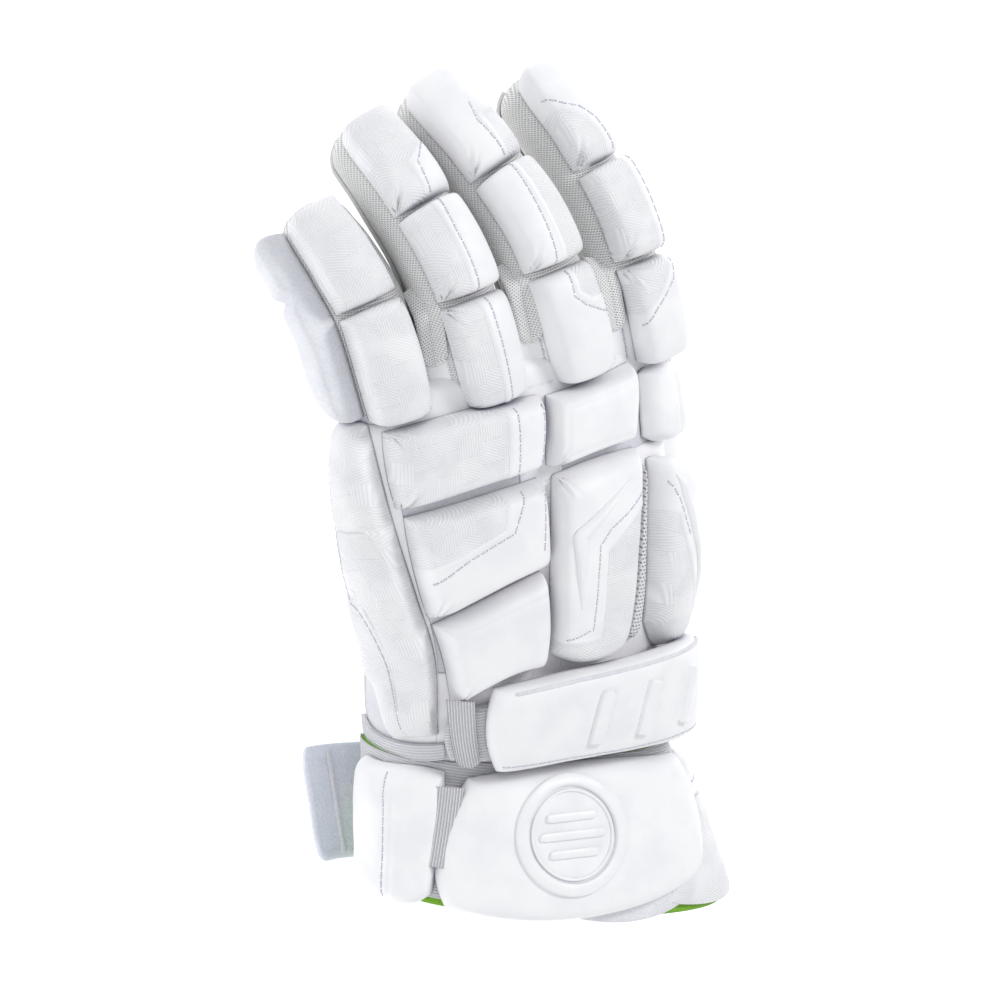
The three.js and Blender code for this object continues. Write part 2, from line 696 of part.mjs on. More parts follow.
// Plain round badge on the cuff: a ring that follows the pad
function roundSolid(shape, centre, radius, hole, height, around) {
  const points = [];
  const triangles = [];
  const middle = shape.top(...centre);
  const across = shape.top(centre[0], centre[1] + 0.02).sub(middle);
  const along = shape.top(centre[0] + 0.02, centre[1]).sub(middle);
  const place = (angle, size, lift) => {
    const du = (0.02 * size * Math.sin(angle)) / along.length();
    const dv = (0.02 * size * Math.cos(angle)) / across.length();
    return shape.top(Math.min(centre[0] + du, 0.95), centre[1] + dv, lift);
  };
  const profile = [
    [radius, leatherGap],
    [radius - 1, leatherGap + height],
    [hole + 1, leatherGap + height],
    [hole, leatherGap],
  ];
  for (let j = 0; j < around; j++)
    for (const [size, lift] of profile)
      points.push(place((360 * degrees * j) / around, size, lift));
  for (let j = 0; j < around; j++)
    for (let k = 0; k < 4; k++) {
      const [a, b] = [j * 4, ((j + 1) % around) * 4];
      triangles.push(...quad(a + k, b + k, b + ((k + 1) % 4), a + ((k + 1) % 4)));
    }
  return solidFrom(points, triangles);
}
const badgePlace = [0.18, -0.2];
const badgeRadius = badgeDiameter / 2;
const badgeHole = badgeRadius - badgeBand;
const badge = roundSolid(pads.cuff_main_pad, badgePlace, badgeRadius, badgeHole, badgeHeight, 24);
addPiece("cuff_badge", badge, "rubber");

// Strap of loop fabric across the palm side of the cuff, its end past the little-finger side
const closureRows = [
  { side: -0.56, rise: 0.15 },
  { side: -0.46, rise: 0.06 },
  { side: -0.3, rise: 0.0 },
  { side: 0.0, rise: 0.0 },
  { side: 0.27, rise: 0.0 },
  { side: 0.355, rise: 0.09 },
  { side: 0.375, rise: 0.24 },
];
const closureSpot = (t) => {
  const share = Math.min(Math.max(t, 0), 1);
  const side = column(closureRows, "side", share);
  const rise = column(closureRows, "rise", share);
  return new THREE.Vector3(side * cuffWidth, 0, rise * cuffHeight);
};
const closureLayer = (above) => (u, v) => {
  const t = (u + 1) / 2;
  const way = closureSpot(t + 0.02).sub(closureSpot(t - 0.02)).normalize();
  const p = closureSpot(t);
  p.y = (closureWidth / 2) * v - cuffSetback - closureSetback - rimSlant * p.x;
  p.z = Math.max(p.z, 0);
  return p.addScaledVector(new THREE.Vector3(-way.z, 0, way.x), above * closureWall);
};
addPiece("closure_strap", sheetSolid(closureLayer(0), closureLayer(1), 12, 2), "loop");

export default group;
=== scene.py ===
# A white lacrosse glove, palm down on a pale floor, seen from above its back.
# Lengths in the tables are millimetres; meshes are written in metres.
from functools import partial
import bmesh
import bpy
import numpy as np
from mathutils import Matrix, Vector


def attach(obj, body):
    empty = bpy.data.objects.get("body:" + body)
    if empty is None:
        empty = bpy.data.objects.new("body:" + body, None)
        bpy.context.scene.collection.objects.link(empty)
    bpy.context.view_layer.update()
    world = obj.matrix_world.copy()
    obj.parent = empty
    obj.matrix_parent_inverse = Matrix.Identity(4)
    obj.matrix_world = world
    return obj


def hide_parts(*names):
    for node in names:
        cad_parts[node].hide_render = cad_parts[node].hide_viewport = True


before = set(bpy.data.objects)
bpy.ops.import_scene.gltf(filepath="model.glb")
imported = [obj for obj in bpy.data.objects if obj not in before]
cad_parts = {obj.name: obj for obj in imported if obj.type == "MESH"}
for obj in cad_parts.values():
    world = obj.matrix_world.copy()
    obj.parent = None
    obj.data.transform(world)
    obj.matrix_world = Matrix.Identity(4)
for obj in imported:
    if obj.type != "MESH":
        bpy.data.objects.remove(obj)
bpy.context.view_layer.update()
print("frame loaded")

# Camera over the back of the hand, fitted to the glove's outline: angles in degrees
camera = {
    "target": (0.0, 60.0, 45.0), "turn": 25.0, "tilt": 18.0, "roll": 8.0,
    "distance": 1600.0, "view": 380.0, "sensor": 36.0,
}


def makeCamera():
    turn, tilt, roll = np.radians([camera["turn"], camera["tilt"], camera["roll"]])
    right = np.array([np.cos(turn), 0, np.sin(turn)])
    up = np.array([np.sin(turn) * np.sin(tilt), np.cos(tilt), -np.cos(turn) * np.sin(tilt)])
    back = np.array([-np.sin(turn) * np.cos(tilt), np.sin(tilt), np.cos(turn) * np.cos(tilt)])
    across = np.cos(roll) * right - np.sin(roll) * up
    upward = np.sin(roll) * right + np.cos(roll) * up
    place = (np.array(camera["target"]) + back * camera["distance"]) / 1000
    data = bpy.data.cameras.new("camera")
    data.sensor_width = camera["sensor"]
    data.lens = camera["sensor"] * camera["distance"] / camera["view"]
    data.clip_end = 20
    seen = bpy.data.objects.new("camera", data)
    matrix = Matrix.Identity(4)
    for k, column in enumerate((across, upward, back, place)):
        matrix.col[k].xyz = column
    seen.matrix_world = matrix
    bpy.context.scene.collection.objects.link(seen)
    bpy.context.scene.camera = seen


makeCamera()


# A tube is a row of rounded sections. tubePoint(t, angle, offset) runs t from 0 to 1 along the
# sections and from 1 to 2 over the tip; angle 0 is the thumb side and 90 the back of the hand.
def tableCurve(rows, name, t):  # a smooth curve through one column, by the tangents of its neighbours
    values = np.array([row.get(name, 0.0) for row in rows], float)
    last = len(values) - 1
    place = np.clip(t, 0, 1) * last
    i = np.minimum(np.floor(place).astype(int), last - 1)
    f = place - i
    a, b, c, d = values[np.maximum(i - 1, 0)], values[i], values[i + 1], values[np.minimum(i + 2, last)]
    before = np.where(i > 0, (c - a) / 2, c - b)
    after = np.where(i + 1 < last, (d - b) / 2, c - b)
    g = 1 - f
    return b * (1 + 2 * f) * g**2 + before * f * g**2 + c * f * f * (3 - 2 * f) - after * f * f * g


def unit(v):
    return v / np.maximum(np.linalg.norm(v, axis=-1, keepdims=True), 1e-9)


def signedPower(value, power):
    return np.sign(value) * np.abs(value) ** power


def tubeFrame(tube, s):  # forward along the middle line, up turned by the roll, side = forward x up
    def centre(q):
        return np.stack([tableCurve(tube["rows"], k, q) for k in "xyz"], -1)

    if tube["upright"]:
        forward = np.zeros(np.shape(s) + (3,))
        forward[..., 1] = 1
    else:
        ahead = np.minimum(s + 0.01, 1)
        forward = unit(centre(ahead) - centre(ahead - 0.01))
    up = unit(np.array([0, 0, 1.0]) - forward * forward[..., 2:])
    roll = np.radians(tableCurve(tube["rows"], "roll", s))[..., None]
    up = up * np.cos(roll) + np.cross(forward, up) * np.sin(roll)
    return centre(s), forward, up, np.cross(forward, up)


def tubePoint(tube, t, angle, offset=0.0):  # centre + side * half * |cos|^(2/n) + up * rise * |sin|^(2/n)
    t, angle, offset = np.broadcast_arrays(np.asarray(t, float), angle, offset)
    rows, s, tip = tube["rows"], np.clip(t, 0, 1), np.radians(np.maximum(t - 1, 0) * 90)
    centre, forward, up, side = tubeFrame(tube, s)
    c, n = np.cos(np.radians(angle)), np.sin(np.radians(angle))
    across, high = signedPower(c, 2 / tube["squareness"]), signedPower(n, 2 / tube["squareness"])
    rise = np.where(n > 0, tableCurve(rows, "up", s), tableCurve(rows, "down", s))
    half = tableCurve(rows, "half", s)
    p = centre + side * ((half + offset) * across * np.cos(tip))[..., None]
    p = p + up * ((rise + offset) * high * np.cos(tip))[..., None]
    p = p + forward * ((tube["tipLength"] + offset) * np.sin(tip))[..., None]
    p[..., 2] -= tableCurve(rows, "arch", s) * across * across * np.cos(tip)
    p[..., 1] -= tableCurve(rows, "slant", s) * (half + offset) * across
    p[..., 2] = np.maximum(p[..., 2], tube["floor"] - offset)
    return p


def tubeAway(tube, t, angle, spread):  # the way a pad stands up: straight up at 0, square to the tube at 1
    tip = np.radians(np.maximum(t - 1, 0) * 90)[..., None]
    _, forward, up, side = tubeFrame(tube, np.minimum(t, 1))
    c, n = np.cos(np.radians(angle)), np.sin(np.radians(angle))
    power = 2 - 2 / tube["squareness"]
    if spread == 0:
        return up * np.cos(tip) + forward * np.sin(tip)
    away = unit(side * (spread * signedPower(c, power))[..., None] + up * signedPower(n, power)[..., None])
    return away * np.cos(tip) + forward * np.sin(tip)


def sideAngle(share, squareness):  # a share of the half-width; past 1 it goes on round to the underside
    inner = np.degrees(np.arccos(np.clip(signedPower(np.clip(share, -1, 1), squareness / 2), -1, 1)))
    return np.where(np.abs(share) > 1, np.where(share > 0, (1 - share) * 90, 180 - (1 + share) * 90), inner)


def makeTube(rows, squareness=2.6, tipLength=0.0, floor=1.7, upright=False, length=None, setback=0.0):
    tube = {"rows": rows, "squareness": squareness, "tipLength": tipLength}
    tube.update({"floor": floor, "upright": upright})
    if length:
        tube["steps"] = np.append(np.linspace(0, 1, 2001), 2.0)
        tube["along"] = (tableCurve(rows, "y", tube["steps"]) + setback) / length
        tube["along"][-1] += tipLength / length
    return tube


# A patch lies between two ends, each given at its left, middle and right, and two straight sides.
def patch(near, far, left, right, **more):
    return {"near": near, "far": far, "left": left, "right": right, **more}


def patchPlace(tube, place, u, v):  # (u, v) from -1 to 1 over the patch -> t and angle
    rounding = place.get("rounding", 0.12)
    ru, rv = u * np.sqrt(1 - rounding * v * v / 2), v * np.sqrt(1 - rounding * u * u / 2)

    def bow(ends):
        a, b, c = ends if len(ends) == 3 else (ends[0],) * 3
        return b + (c - a) / 2 * rv + ((a + c) / 2 - b) * rv * rv

    k = (ru + 1) / 2
    along = bow(place["near"]) * (1 - k) + bow(place["far"]) * k
    left = place["left"][0] * (1 - k) + place["left"][-1] * k
    right = place["right"][0] * (1 - k) + place["right"][-1] * k
    share = left + (right - left) * (rv + 1) / 2
    t = np.interp(along, tube["along"], tube["steps"]) if "steps" in tube else along
    return t, sideAngle(share, tube["squareness"])


handSize = {"length": 172.0, "width": 128.0, "height": 72.0, "setback": 46.0, "tip": 10.0}
handRows = [
    {
        "along": -0.06, "side": -0.0066, "rise": 0.46,
        "half": 0.4366, "up": 0.38, "down": 0.44, "arch": 0.04,
    },
    {
        "along": 0.14, "side": 0.0034, "rise": 0.49,
        "half": 0.4566, "up": 0.43, "down": 0.53, "arch": 0.05,
    },
    {
        "along": 0.331, "side": 0.0456, "rise": 0.55,
        "half": 0.4594, "up": 0.42, "down": 0.62, "arch": 0.06,
    },
    {
        "along": 0.488, "side": 0.0451, "rise": 0.64,
        "half": 0.4799, "up": 0.37, "down": 0.33, "arch": 0.08,
    },
    {
        "along": 0.669, "side": 0.0496, "rise": 0.73,
        "half": 0.5004, "up": 0.28, "down": 0.25, "arch": 0.11,
    },
    {
        "along": 0.843, "side": 0.0632, "rise": 0.76,
        "half": 0.5018, "up": 0.22, "down": 0.23, "arch": 0.15,
    },
    {
        "along": 0.919, "side": 0.0582, "rise": 0.755,
        "half": 0.4868, "up": 0.2, "down": 0.21, "arch": 0.16,
    },
]


def scaledRows(rows, size):
    width, height = size["width"], size["height"]
    return [
        {
            "x": row["side"] * width, "y": row["along"] * size["length"] - size["setback"],
            "z": row["rise"] * height, "half": row["half"] * width,
            "up": row["up"] * height, "down": row["down"] * height,
            "arch": row["arch"] * height, "slant": row.get("slant", 0.0),
        }
        for row in rows
    ]


hand = makeTube(
    scaledRows(handRows, handSize), tipLength=handSize["tip"], upright=True,
    length=handSize["length"], setback=handSize["setback"],
)

fingerDepth, fingerTip = 27.0, 11.0
fingerSizes = {
    "pinky": {
        "side": -0.311, "y": 121.25, "rise": 0.63, "reach": 52.33, "drop": 22.22, "lean": -8.46,
        "width": 30.65, "roll": -6,
    },
    "ring": {
        "side": -0.07, "y": 123.93, "rise": 0.76, "reach": 74.57, "drop": 35.6, "lean": -13.17,
        "width": 30.77, "roll": -2,
    },
    "middle": {
        "side": 0.215, "y": 126.26, "rise": 0.785, "reach": 79.69, "drop": 40.55, "lean": -19.33,
        "width": 30.41, "roll": 2,
    },
    "index": {
        "side": 0.485, "y": 125.25, "rise": 0.69, "reach": 74.88, "drop": 30.71, "lean": -12.87,
        "width": 29.24, "roll": 8,
    },
}
fingerCurl = [
    {"reach": -0.38, "drop": 0.1, "lean": -0.2, "girth": 0.88},
    {"reach": 0, "drop": 0, "lean": 0, "girth": 1},
    {"reach": 0.46, "drop": 0.2, "lean": 0.26, "girth": 1},
    {"reach": 0.79, "drop": 0.6, "lean": 0.68, "girth": 0.96},
    {"reach": 1, "drop": 1, "lean": 1, "girth": 0.88},
]
thumbSize = {"length": 118.0, "width": 33.0, "depth": 27.72, "back": 22.0, "tip": 13.0}
thumbRows = [
    {"forward": 0.0, "side": 0.36, "rise": 0.35, "girth": 0.86},
    {"forward": 0.3, "side": 0.49, "rise": 0.27, "girth": 1},
    {"forward": 0.58, "side": 0.56, "rise": 0.225, "girth": 1},
    {"forward": 0.82, "side": 0.56, "rise": 0.205, "girth": 0.96},
    {"forward": 1.0, "side": 0.52, "rise": 0.2, "girth": 0.88},
]
digits = {}
for name, f in fingerSizes.items():
    rows = [
        {
            "x": f["side"] * handSize["width"] + row["lean"] * f["lean"],
            "y": f["y"] + row["reach"] * f["reach"],
            "z": f["rise"] * handSize["height"] - row["drop"] * f["drop"],
            "half": row["girth"] * f["width"] / 2, "up": row["girth"] * fingerDepth / 2,
            "down": row["girth"] * fingerDepth / 2, "roll": f["roll"],
        }
        for row in fingerCurl
    ]
    digits[name] = makeTube(rows, squareness=2.5, tipLength=fingerTip)
rows = [
    {
        "x": row["side"] * handSize["width"],
        "y": row["forward"] * thumbSize["length"] - thumbSize["back"],
        "z": row["rise"] * handSize["height"],
        "half": row["girth"] * thumbSize["width"] / 2, "up": row["girth"] * thumbSize["depth"] / 2,
        "down": row["girth"] * thumbSize["depth"] / 2,
    }
    for row in thumbRows
]
digits["thumb"] = makeTube(rows, squareness=2.5, tipLength=thumbSize["tip"])

cuffSize = {"length": 66.0, "width": 150.0, "height": 84.0, "setback": 106.0}
cuffRows = [
    {
        "along": 0.0, "side": -0.005, "rise": 0.5,
        "half": 0.465, "up": 0.465, "down": 0.48, "arch": 0.02, "slant": 0.32,
    },
    {
        "along": 0.5, "side": -0.008, "rise": 0.45,
        "half": 0.43, "up": 0.41, "down": 0.44, "arch": 0.03, "slant": 0.27,
    },
    {
        "along": 1.0, "side": -0.004, "rise": 0.4,
        "half": 0.396, "up": 0.338, "down": 0.39, "arch": 0.04, "slant": 0.235,
    },
]
cuff = makeTube(
    scaledRows(cuffRows, cuffSize), upright=True,
    length=cuffSize["length"], setback=cuffSize["setback"],
)


def fromHex(text):  # sRGB hex to linear
    value = np.array([int(text[i:i + 2], 16) / 255 for i in (1, 3, 5)])
    linear = np.where(value <= 0.04045, value / 12.92, ((value + 0.055) / 1.055) ** 2.4)
    return (*linear.tolist(), 1.0)


def addNode(tree, kind, *values, output=0, named=None, **settings):  # its inputs in order, or named
    node = tree.nodes.new("ShaderNode" + kind)
    for key, value in settings.items():
        setattr(node, key, value)
    for key, value in [*enumerate(values), *(named or {}).items()]:
        if isinstance(value, bpy.types.NodeSocket):
            tree.links.new(value, node.inputs[key])
        else:
            node.inputs[key].default_value = value
    return node.outputs[output]


def newMaterial(name, roughness, sheen=0.0, specular=0.5):
    material = bpy.data.materials.new(name)
    material.use_nodes = True
    shader = material.node_tree.nodes["Principled BSDF"]
    shader.inputs["Roughness"].default_value = roughness
    shader.inputs["Sheen Weight"].default_value = sheen
    shader.inputs["Specular IOR Level"].default_value = specular
    return material, partial(addNode, material.node_tree), shader


def finishMaterial(material, add, shader, colour, *layers):  # each layer: height and full depth in mm
    links = material.node_tree.links
    links.new(colour, shader.inputs["Base Color"])
    normal = None
    for height, depth in layers:
        inputs = {"Height": height, "Distance": depth / 1000, "Strength": 1.0}
        if normal:
            inputs["Normal"] = normal
        normal = add("Bump", named=inputs)
    links.new(normal, shader.inputs["Normal"])
    return material


# Patterns are laid out in millimetres by the piece's UV map "mm", and noise by its place in metres.
# White polyurethane leather, embossed where the piece says so: fine grain, soft low gloss, and
# raised stripes 0.95 mm apart in 8.5 mm blocks that turn by 60 degrees from one to the next.
def makeLeather(name, colour, shade):
    material, add, shader = newMaterial(name, 0.5, sheen=0.05, specular=0.4)
    place, mm = add("TexCoord", output="Object"), add("UVMap", uv_map="mm")
    x, y = add("SeparateXYZ", mm), add("SeparateXYZ", mm, output=1)
    block, pitch = 8.5, 0.95
    column = add("Math", add("Math", x, block, operation="DIVIDE"), operation="FLOOR")
    odd = add("Math", add("Math", column, operation="ABSOLUTE"), 2.0, operation="MODULO")
    shifted = add("Math", odd, block / 2, y, operation="MULTIPLY_ADD")
    row = add("Math", add("Math", shifted, block, operation="DIVIDE"), operation="FLOOR")
    turn = add("Math", row, 2.0, column, operation="MULTIPLY_ADD")
    angle = add("Math", add("Math", turn, 3.0, 0.0, operation="WRAP"), np.pi / 3, operation="MULTIPLY")
    high = add("Math", y, add("Math", angle, operation="SINE"), operation="MULTIPLY")
    across = add("Math", x, add("Math", angle, operation="COSINE"), high, operation="MULTIPLY_ADD")
    wave = add("Math", add("Math", across, 2 * np.pi / pitch, operation="MULTIPLY"), operation="SINE")
    stripe = add("Math", wave, 0.5, 0.5, operation="MULTIPLY_ADD")
    panel = add("Attribute", output="Fac", attribute_name="textured")
    inside = add("MapRange", panel, -0.25, 0.25, interpolation_type="SMOOTHSTEP")
    worn = add("TexNoise", place, named={"Scale": 70.0, "Detail": 2.0})
    fade = add("MapRange", worn, 0.34, 0.5, 0.35, 1.0, interpolation_type="SMOOTHSTEP")
    pressed = add("Math", add("Math", stripe, inside, operation="MULTIPLY"), fade, operation="MULTIPLY")
    grain = add("TexNoise", place, named={"Scale": 1400.0, "Detail": 2.0})
    patches = add("TexNoise", place, named={"Scale": 60.0, "Detail": 3.0})
    cloud = add("MapRange", patches, 0.35, 0.7, interpolation_type="SMOOTHSTEP")
    base = add("Mix", cloud, named={6: fromHex(colour), 7: fromHex(shade)}, output=2, data_type="RGBA")
    # painted shade: the low ground between the raised stripes is tinted grey-blue
    low = add("Math", add("Math", 1.0, stripe, operation="SUBTRACT"), inside, operation="MULTIPLY")
    valleyShade = add("Math", low, 0.22, operation="MULTIPLY")
    withValleyShade = add("Mix", valleyShade, named={6: base, 7: fromHex("#b9bac2")}, output=2, data_type="RGBA")
    # painted shade: seams and gaps between pads darken over 5 mm, found by ambient occlusion, where shade
    # falls
    openness = add("AmbientOcclusion", named={"Distance": 0.005}, output="AO", samples=6)
    unshadedShare = add("MapRange", openness, 0.05, 0.6, interpolation_type="SMOOTHSTEP")
    shown = add("Mix", unshadedShare, named={6: fromHex("#a8a8b4"), 7: withValleyShade}, output=2, data_type="RGBA")
    return finishMaterial(material, add, shader, shown, (grain, 0.05), (patches, 0.5), (pressed, 0.16))


# Knitted polyester mesh: light threads round rows of small oval eyelets, each row moved by half a pitch; the
# eyelets are painted shade, a darker grey that stands in for the shaded inside seen through them.
def makeMesh(name, thread, hole, pitchX, pitchY, sheen=0.15):
    material, add, shader = newMaterial(name, 0.85, sheen=sheen)
    place, mm = add("TexCoord", output="Object"), add("UVMap", uv_map="mm")
    x, y = add("SeparateXYZ", mm), add("SeparateXYZ", mm, output=1)
    rowPlace = add("Math", y, pitchY, operation="DIVIDE")
    row = add("Math", rowPlace, operation="FLOOR")
    odd = add("Math", add("Math", row, operation="ABSOLUTE"), 2.0, operation="MODULO")
    shifted = add("Math", odd, 0.5, add("Math", x, pitchX, operation="DIVIDE"), operation="MULTIPLY_ADD")
    halfWide, halfHigh = 1.15, 1.7
    sides = []
    for share, scale in ((shifted, halfWide), (rowPlace, halfHigh)):
        inCell = add("Math", add("Math", share, operation="FRACT"), 0.5, operation="SUBTRACT")
        sides.append(add("Math", inCell, scale, operation="MULTIPLY"))
    squared = add("Math", sides[1], sides[1], operation="MULTIPLY")
    far = add("Math", add("Math", sides[0], sides[0], squared, operation="MULTIPLY_ADD"), operation="SQRT")
    eyelet = add("MapRange", far, 0.2, 0.46, interpolation_type="SMOOTHSTEP")
    patches = add("TexNoise", place, named={"Scale": 90.0, "Detail": 3.0})
    # painted shade inside the eyelets, patchy in tone
    behind = {6: fromHex(hole), 7: fromHex("#b4b5b6")}
    holeShade = add("Mix", patches, named=behind, output=2, data_type="RGBA")
    shown = add("Mix", eyelet, named={6: holeShade, 7: fromHex(thread)}, output=2, data_type="RGBA")
    fuzz = add("TexNoise", place, named={"Scale": 900.0, "Detail": 2.0})
    return finishMaterial(material, add, shader, shown, (eyelet, 0.35), (fuzz, 0.1))


# Ribbed knit or webbing: ribs along the band or across it, with fine yarns the other way.
def makeRibbed(name, colour, groove, pitch, depth, yarn=0.55, along=False):
    material, add, shader = newMaterial(name, 0.9, sheen=0.25)
    place, mm = add("TexCoord", output="Object"), add("UVMap", uv_map="mm")
    waves = []
    for axis, size in ((0 if along else 1, pitch), (1 if along else 0, yarn)):
        turned = add("Math", add("SeparateXYZ", mm, output=axis), 2 * np.pi / size, operation="MULTIPLY")
        wave = add("Math", turned, operation="SINE")
        waves.append(add("Math", wave, 0.5, 0.5, operation="MULTIPLY_ADD"))
    fuzz = add("TexNoise", place, named={"Scale": 1100.0, "Detail": 3.0})
    worn = add("MapRange", fuzz, 0.2, 0.7, 0.7, 1.0, interpolation_type="SMOOTHSTEP")
    # painted shade: the grooves between ribs, and the ribs in patches where the noise dims them, take the
    # darker groove colour
    raised = add("Math", waves[0], worn, operation="MULTIPLY")
    shown = add("Mix", raised, named={6: fromHex(groove), 7: fromHex(colour)}, output=2, data_type="RGBA")
    return finishMaterial(material, add, shader, shown, (waves[0], depth), (waves[1], 0.08), (fuzz, 0.12))


# Brushed or napped cloth: short fibres that catch the light at the edges.
def makeNapped(name, colour, shade, size, depth, sheen):
    material, add, shader = newMaterial(name, 0.95, sheen=sheen, specular=0.2)
    place = add("TexCoord", output="Object")
    fibres = add("TexNoise", place, named={"Scale": 1000.0 / size, "Detail": 4.0})
    clouds = add("TexNoise", place, named={"Scale": 45.0, "Detail": 3.0})
    half = add("Math", fibres, 0.5, operation="MULTIPLY")
    mixed = add("Math", clouds, 0.5, half, operation="MULTIPLY_ADD")
    share = add("MapRange", mixed, 0.3, 0.7, interpolation_type="SMOOTHSTEP")
    shown = add("Mix", share, named={6: fromHex(shade), 7: fromHex(colour)}, output=2, data_type="RGBA")
    return finishMaterial(material, add, shader, shown, (fibres, depth), (clouds, 0.6))


# Moulded soft rubber: even, slightly glossy, with a faint orange peel.
def makeRubber(name, colour, shade):
    material, add, shader = newMaterial(name, 0.38)
    place = add("TexCoord", output="Object")
    patches = add("TexNoise", place, named={"Scale": 120.0, "Detail": 3.0})
    shown = add("Mix", patches, named={6: fromHex(colour), 7: fromHex(shade)}, output=2, data_type="RGBA")
    peel = add("TexNoise", place, named={"Scale": 900.0, "Detail": 3.0})
    return finishMaterial(material, add, shader, shown, (peel, 0.02))


materials = {
    "leather": makeLeather("pu leather, embossed", "#f7f7f8", "#f0f0f3"),
    "suede": makeNapped("suede leather, buffed", "#ecedf2", "#dcdde4", 1.1, 0.22, 0.3),
    "palm": makeNapped("microsuede, napped", "#e9e9e8", "#dcdcdc", 0.7, 0.1, 0.3),
    "mesh": makeMesh("polyester mesh, knitted", "#f0f0ef", "#b4b5b6", 1.1, 1.0),
    "liner": makeNapped("tricot liner, knitted", "#e6e6ea", "#d2d2da", 0.8, 0.15, 0.2),
    "knit": makeRibbed("tricot edging, knitted", "#f0f0f3", "#cdcdd4", 1.2, 0.25),
    "rubber": makeRubber("tpr rubber, moulded", "#fbfbfc", "#eceef0"),
    "webbing": makeRibbed("elastic webbing, woven", "#ebebed", "#b7b7bc", 1.1, 0.35, 0.9, along=True),
    "lining": makeNapped("green jersey lining, knitted", "#86bb3d", "#6fa52c", 0.8, 0.15, 0.2),
    "loop": makeNapped("loop fabric, brushed", "#f6f8ff", "#e2e8f4", 1.2, 0.5, 0.5),
    "silver": makeMesh("metallic mesh, woven", "#e4e4e6", "#6c6c70", 1.7, 1.5, 0.05),
    "thread": makeNapped("polyester thread, twisted", "#e2e2ec", "#d0d0dc", 0.3, 0.05, 0.1),
    # needle holes: darker grey as painted shade in the pits
    "hole": makeNapped("needle hole, punched", "#b0afbe", "#9b99ac", 0.3, 0.02, 0.0),
    "binding": makeNapped("tricot binding, brushed", "#eeeef2", "#d9d9e0", 0.9, 0.4, 0.5),
}
print("materials made")


def gridFaces(rows, columns, closeAround=False):  # quads of a rows x columns grid of points
    i, j = np.meshgrid(np.arange(rows - 1), np.arange(columns - 1 + closeAround), indexing="ij")
    k = (j + 1) % columns
    corners = [i * columns + j, (i + 1) * columns + j, (i + 1) * columns + k, i * columns + k]
    return np.stack(corners, -1).reshape(-1, 4)


def pillowFaces(rows, columns):  # two layers of one grid, sewn together round the border
    faces, count = gridFaces(rows, columns), rows * columns
    grid = np.arange(count).reshape(rows, columns)
    border = np.concatenate([grid[0], grid[1:, -1], grid[-1, -2::-1], grid[-2:0:-1, 0]])
    after = np.roll(border, -1)
    wall = np.stack([border, after, after + count, border + count], -1)
    return np.concatenate([faces, faces[:, ::-1] + count, wall])


def runs(p, axis):  # the length run so far along a line, or along one way of a grid
    return np.insert(np.cumsum(np.linalg.norm(np.diff(p, axis=axis), axis=-1), axis), 0, 0.0, axis)


def centred(x):  # lengths measured from the middle column
    middle = x.shape[1] // 2
    return x - x[:, middle:middle + 1]


farOutside = -5.0  # millimetres inside an embossed area, so below 0 off it


def makeObject(name, points, faces, material, mm=None, textured=None):
    mesh = bpy.data.meshes.new(name)
    mesh.vertices.add(len(points))
    mesh.vertices.foreach_set("co", (points / 1000).astype(np.float32).ravel())
    mesh.loops.add(faces.size)
    mesh.loops.foreach_set("vertex_index", faces.ravel().astype(np.int32))
    mesh.polygons.add(len(faces))
    mesh.polygons.foreach_set("loop_start", np.arange(0, faces.size, faces.shape[1], dtype=np.int32))
    if mm is not None:
        layer = mesh.uv_layers.new(name="mm")
        layer.data.foreach_set("uv", np.asarray(mm, np.float32)[faces.ravel()].ravel())
    inside = np.full(len(points), farOutside) if textured is None else textured
    layer = mesh.attributes.new("textured", "FLOAT", "POINT")
    layer.data.foreach_set("value", inside.astype(np.float32))
    mesh.update(calc_edges=True)
    mesh.validate()
    mesh.shade_smooth()
    mesh.materials.append(materials[material])
    made = bpy.data.objects.new(name, mesh)
    bpy.context.scene.collection.objects.link(made)
    return made


def finishPiece(made, slot, replaces=()):
    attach(made, "root")
    if replaces:
        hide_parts(*([replaces] if isinstance(replaces, str) else replaces))


def gridNormals(p):  # the cross product of the two steps along the grid
    return unit(np.cross(np.gradient(p, axis=0), np.gradient(p, axis=1)))


def ripples(p, size, seed):  # soft uneven waves: a sum of sines in turned directions, about `size` mm long
    mixed = np.random.default_rng(seed)
    total = np.zeros(p.shape[:-1])
    for _ in range(7):
        way = unit(mixed.normal(size=3))
        total += np.sin(p @ way * 2 * np.pi / (size * mixed.uniform(0.7, 1.6)) + mixed.uniform(0, 6.3))
    return total / 7


def awayFromPath(x, y, path):  # the distance in the plane from each point to a bent line
    best = np.full(x.shape, 1e9)
    for (ax, ay), (bx, by) in zip(path[:-1], path[1:]):
        length = max(np.hypot(bx - ax, by - ay), 1e-6)
        k = np.clip(((x - ax) * (bx - ax) + (y - ay) * (by - ay)) / length**2, 0, 1)
        d = np.hypot(x - ax - k * (bx - ax), y - ay - k * (by - ay))
        best = np.minimum(best, d)
    return best


def insideShape(x, y, corners):  # signed distance to a closed shape, above 0 inside it
    closed = list(corners) + [corners[0]]
    distance = awayFromPath(x, y, closed)
    inside = np.zeros(x.shape, bool)
    for (ax, ay), (bx, by) in zip(closed[:-1], closed[1:]):
        crossing = (ay > y) != (by > y)
        inside ^= crossing & (x < (bx - ax) * (y - ay) / np.where(by == ay, 1e-9, by - ay) + ax)
    return np.where(inside, distance, -distance)


# Stitches: short rounded threads along a line, each an ellipsoid with a needle hole at both ends, a darker
# ellipsoid that is painted shade in the pit
stitchParts = {"points": [], "faces": [], "count": 0}
holeParts = {"points": [], "faces": [], "count": 0}
thread = {"step": 3.5, "length": 2.2, "half": 0.42, "rise": 0.3, "lift": 0.12}
needleHole = {"half": 0.3, "rise": 0.14, "lift": 0.02}


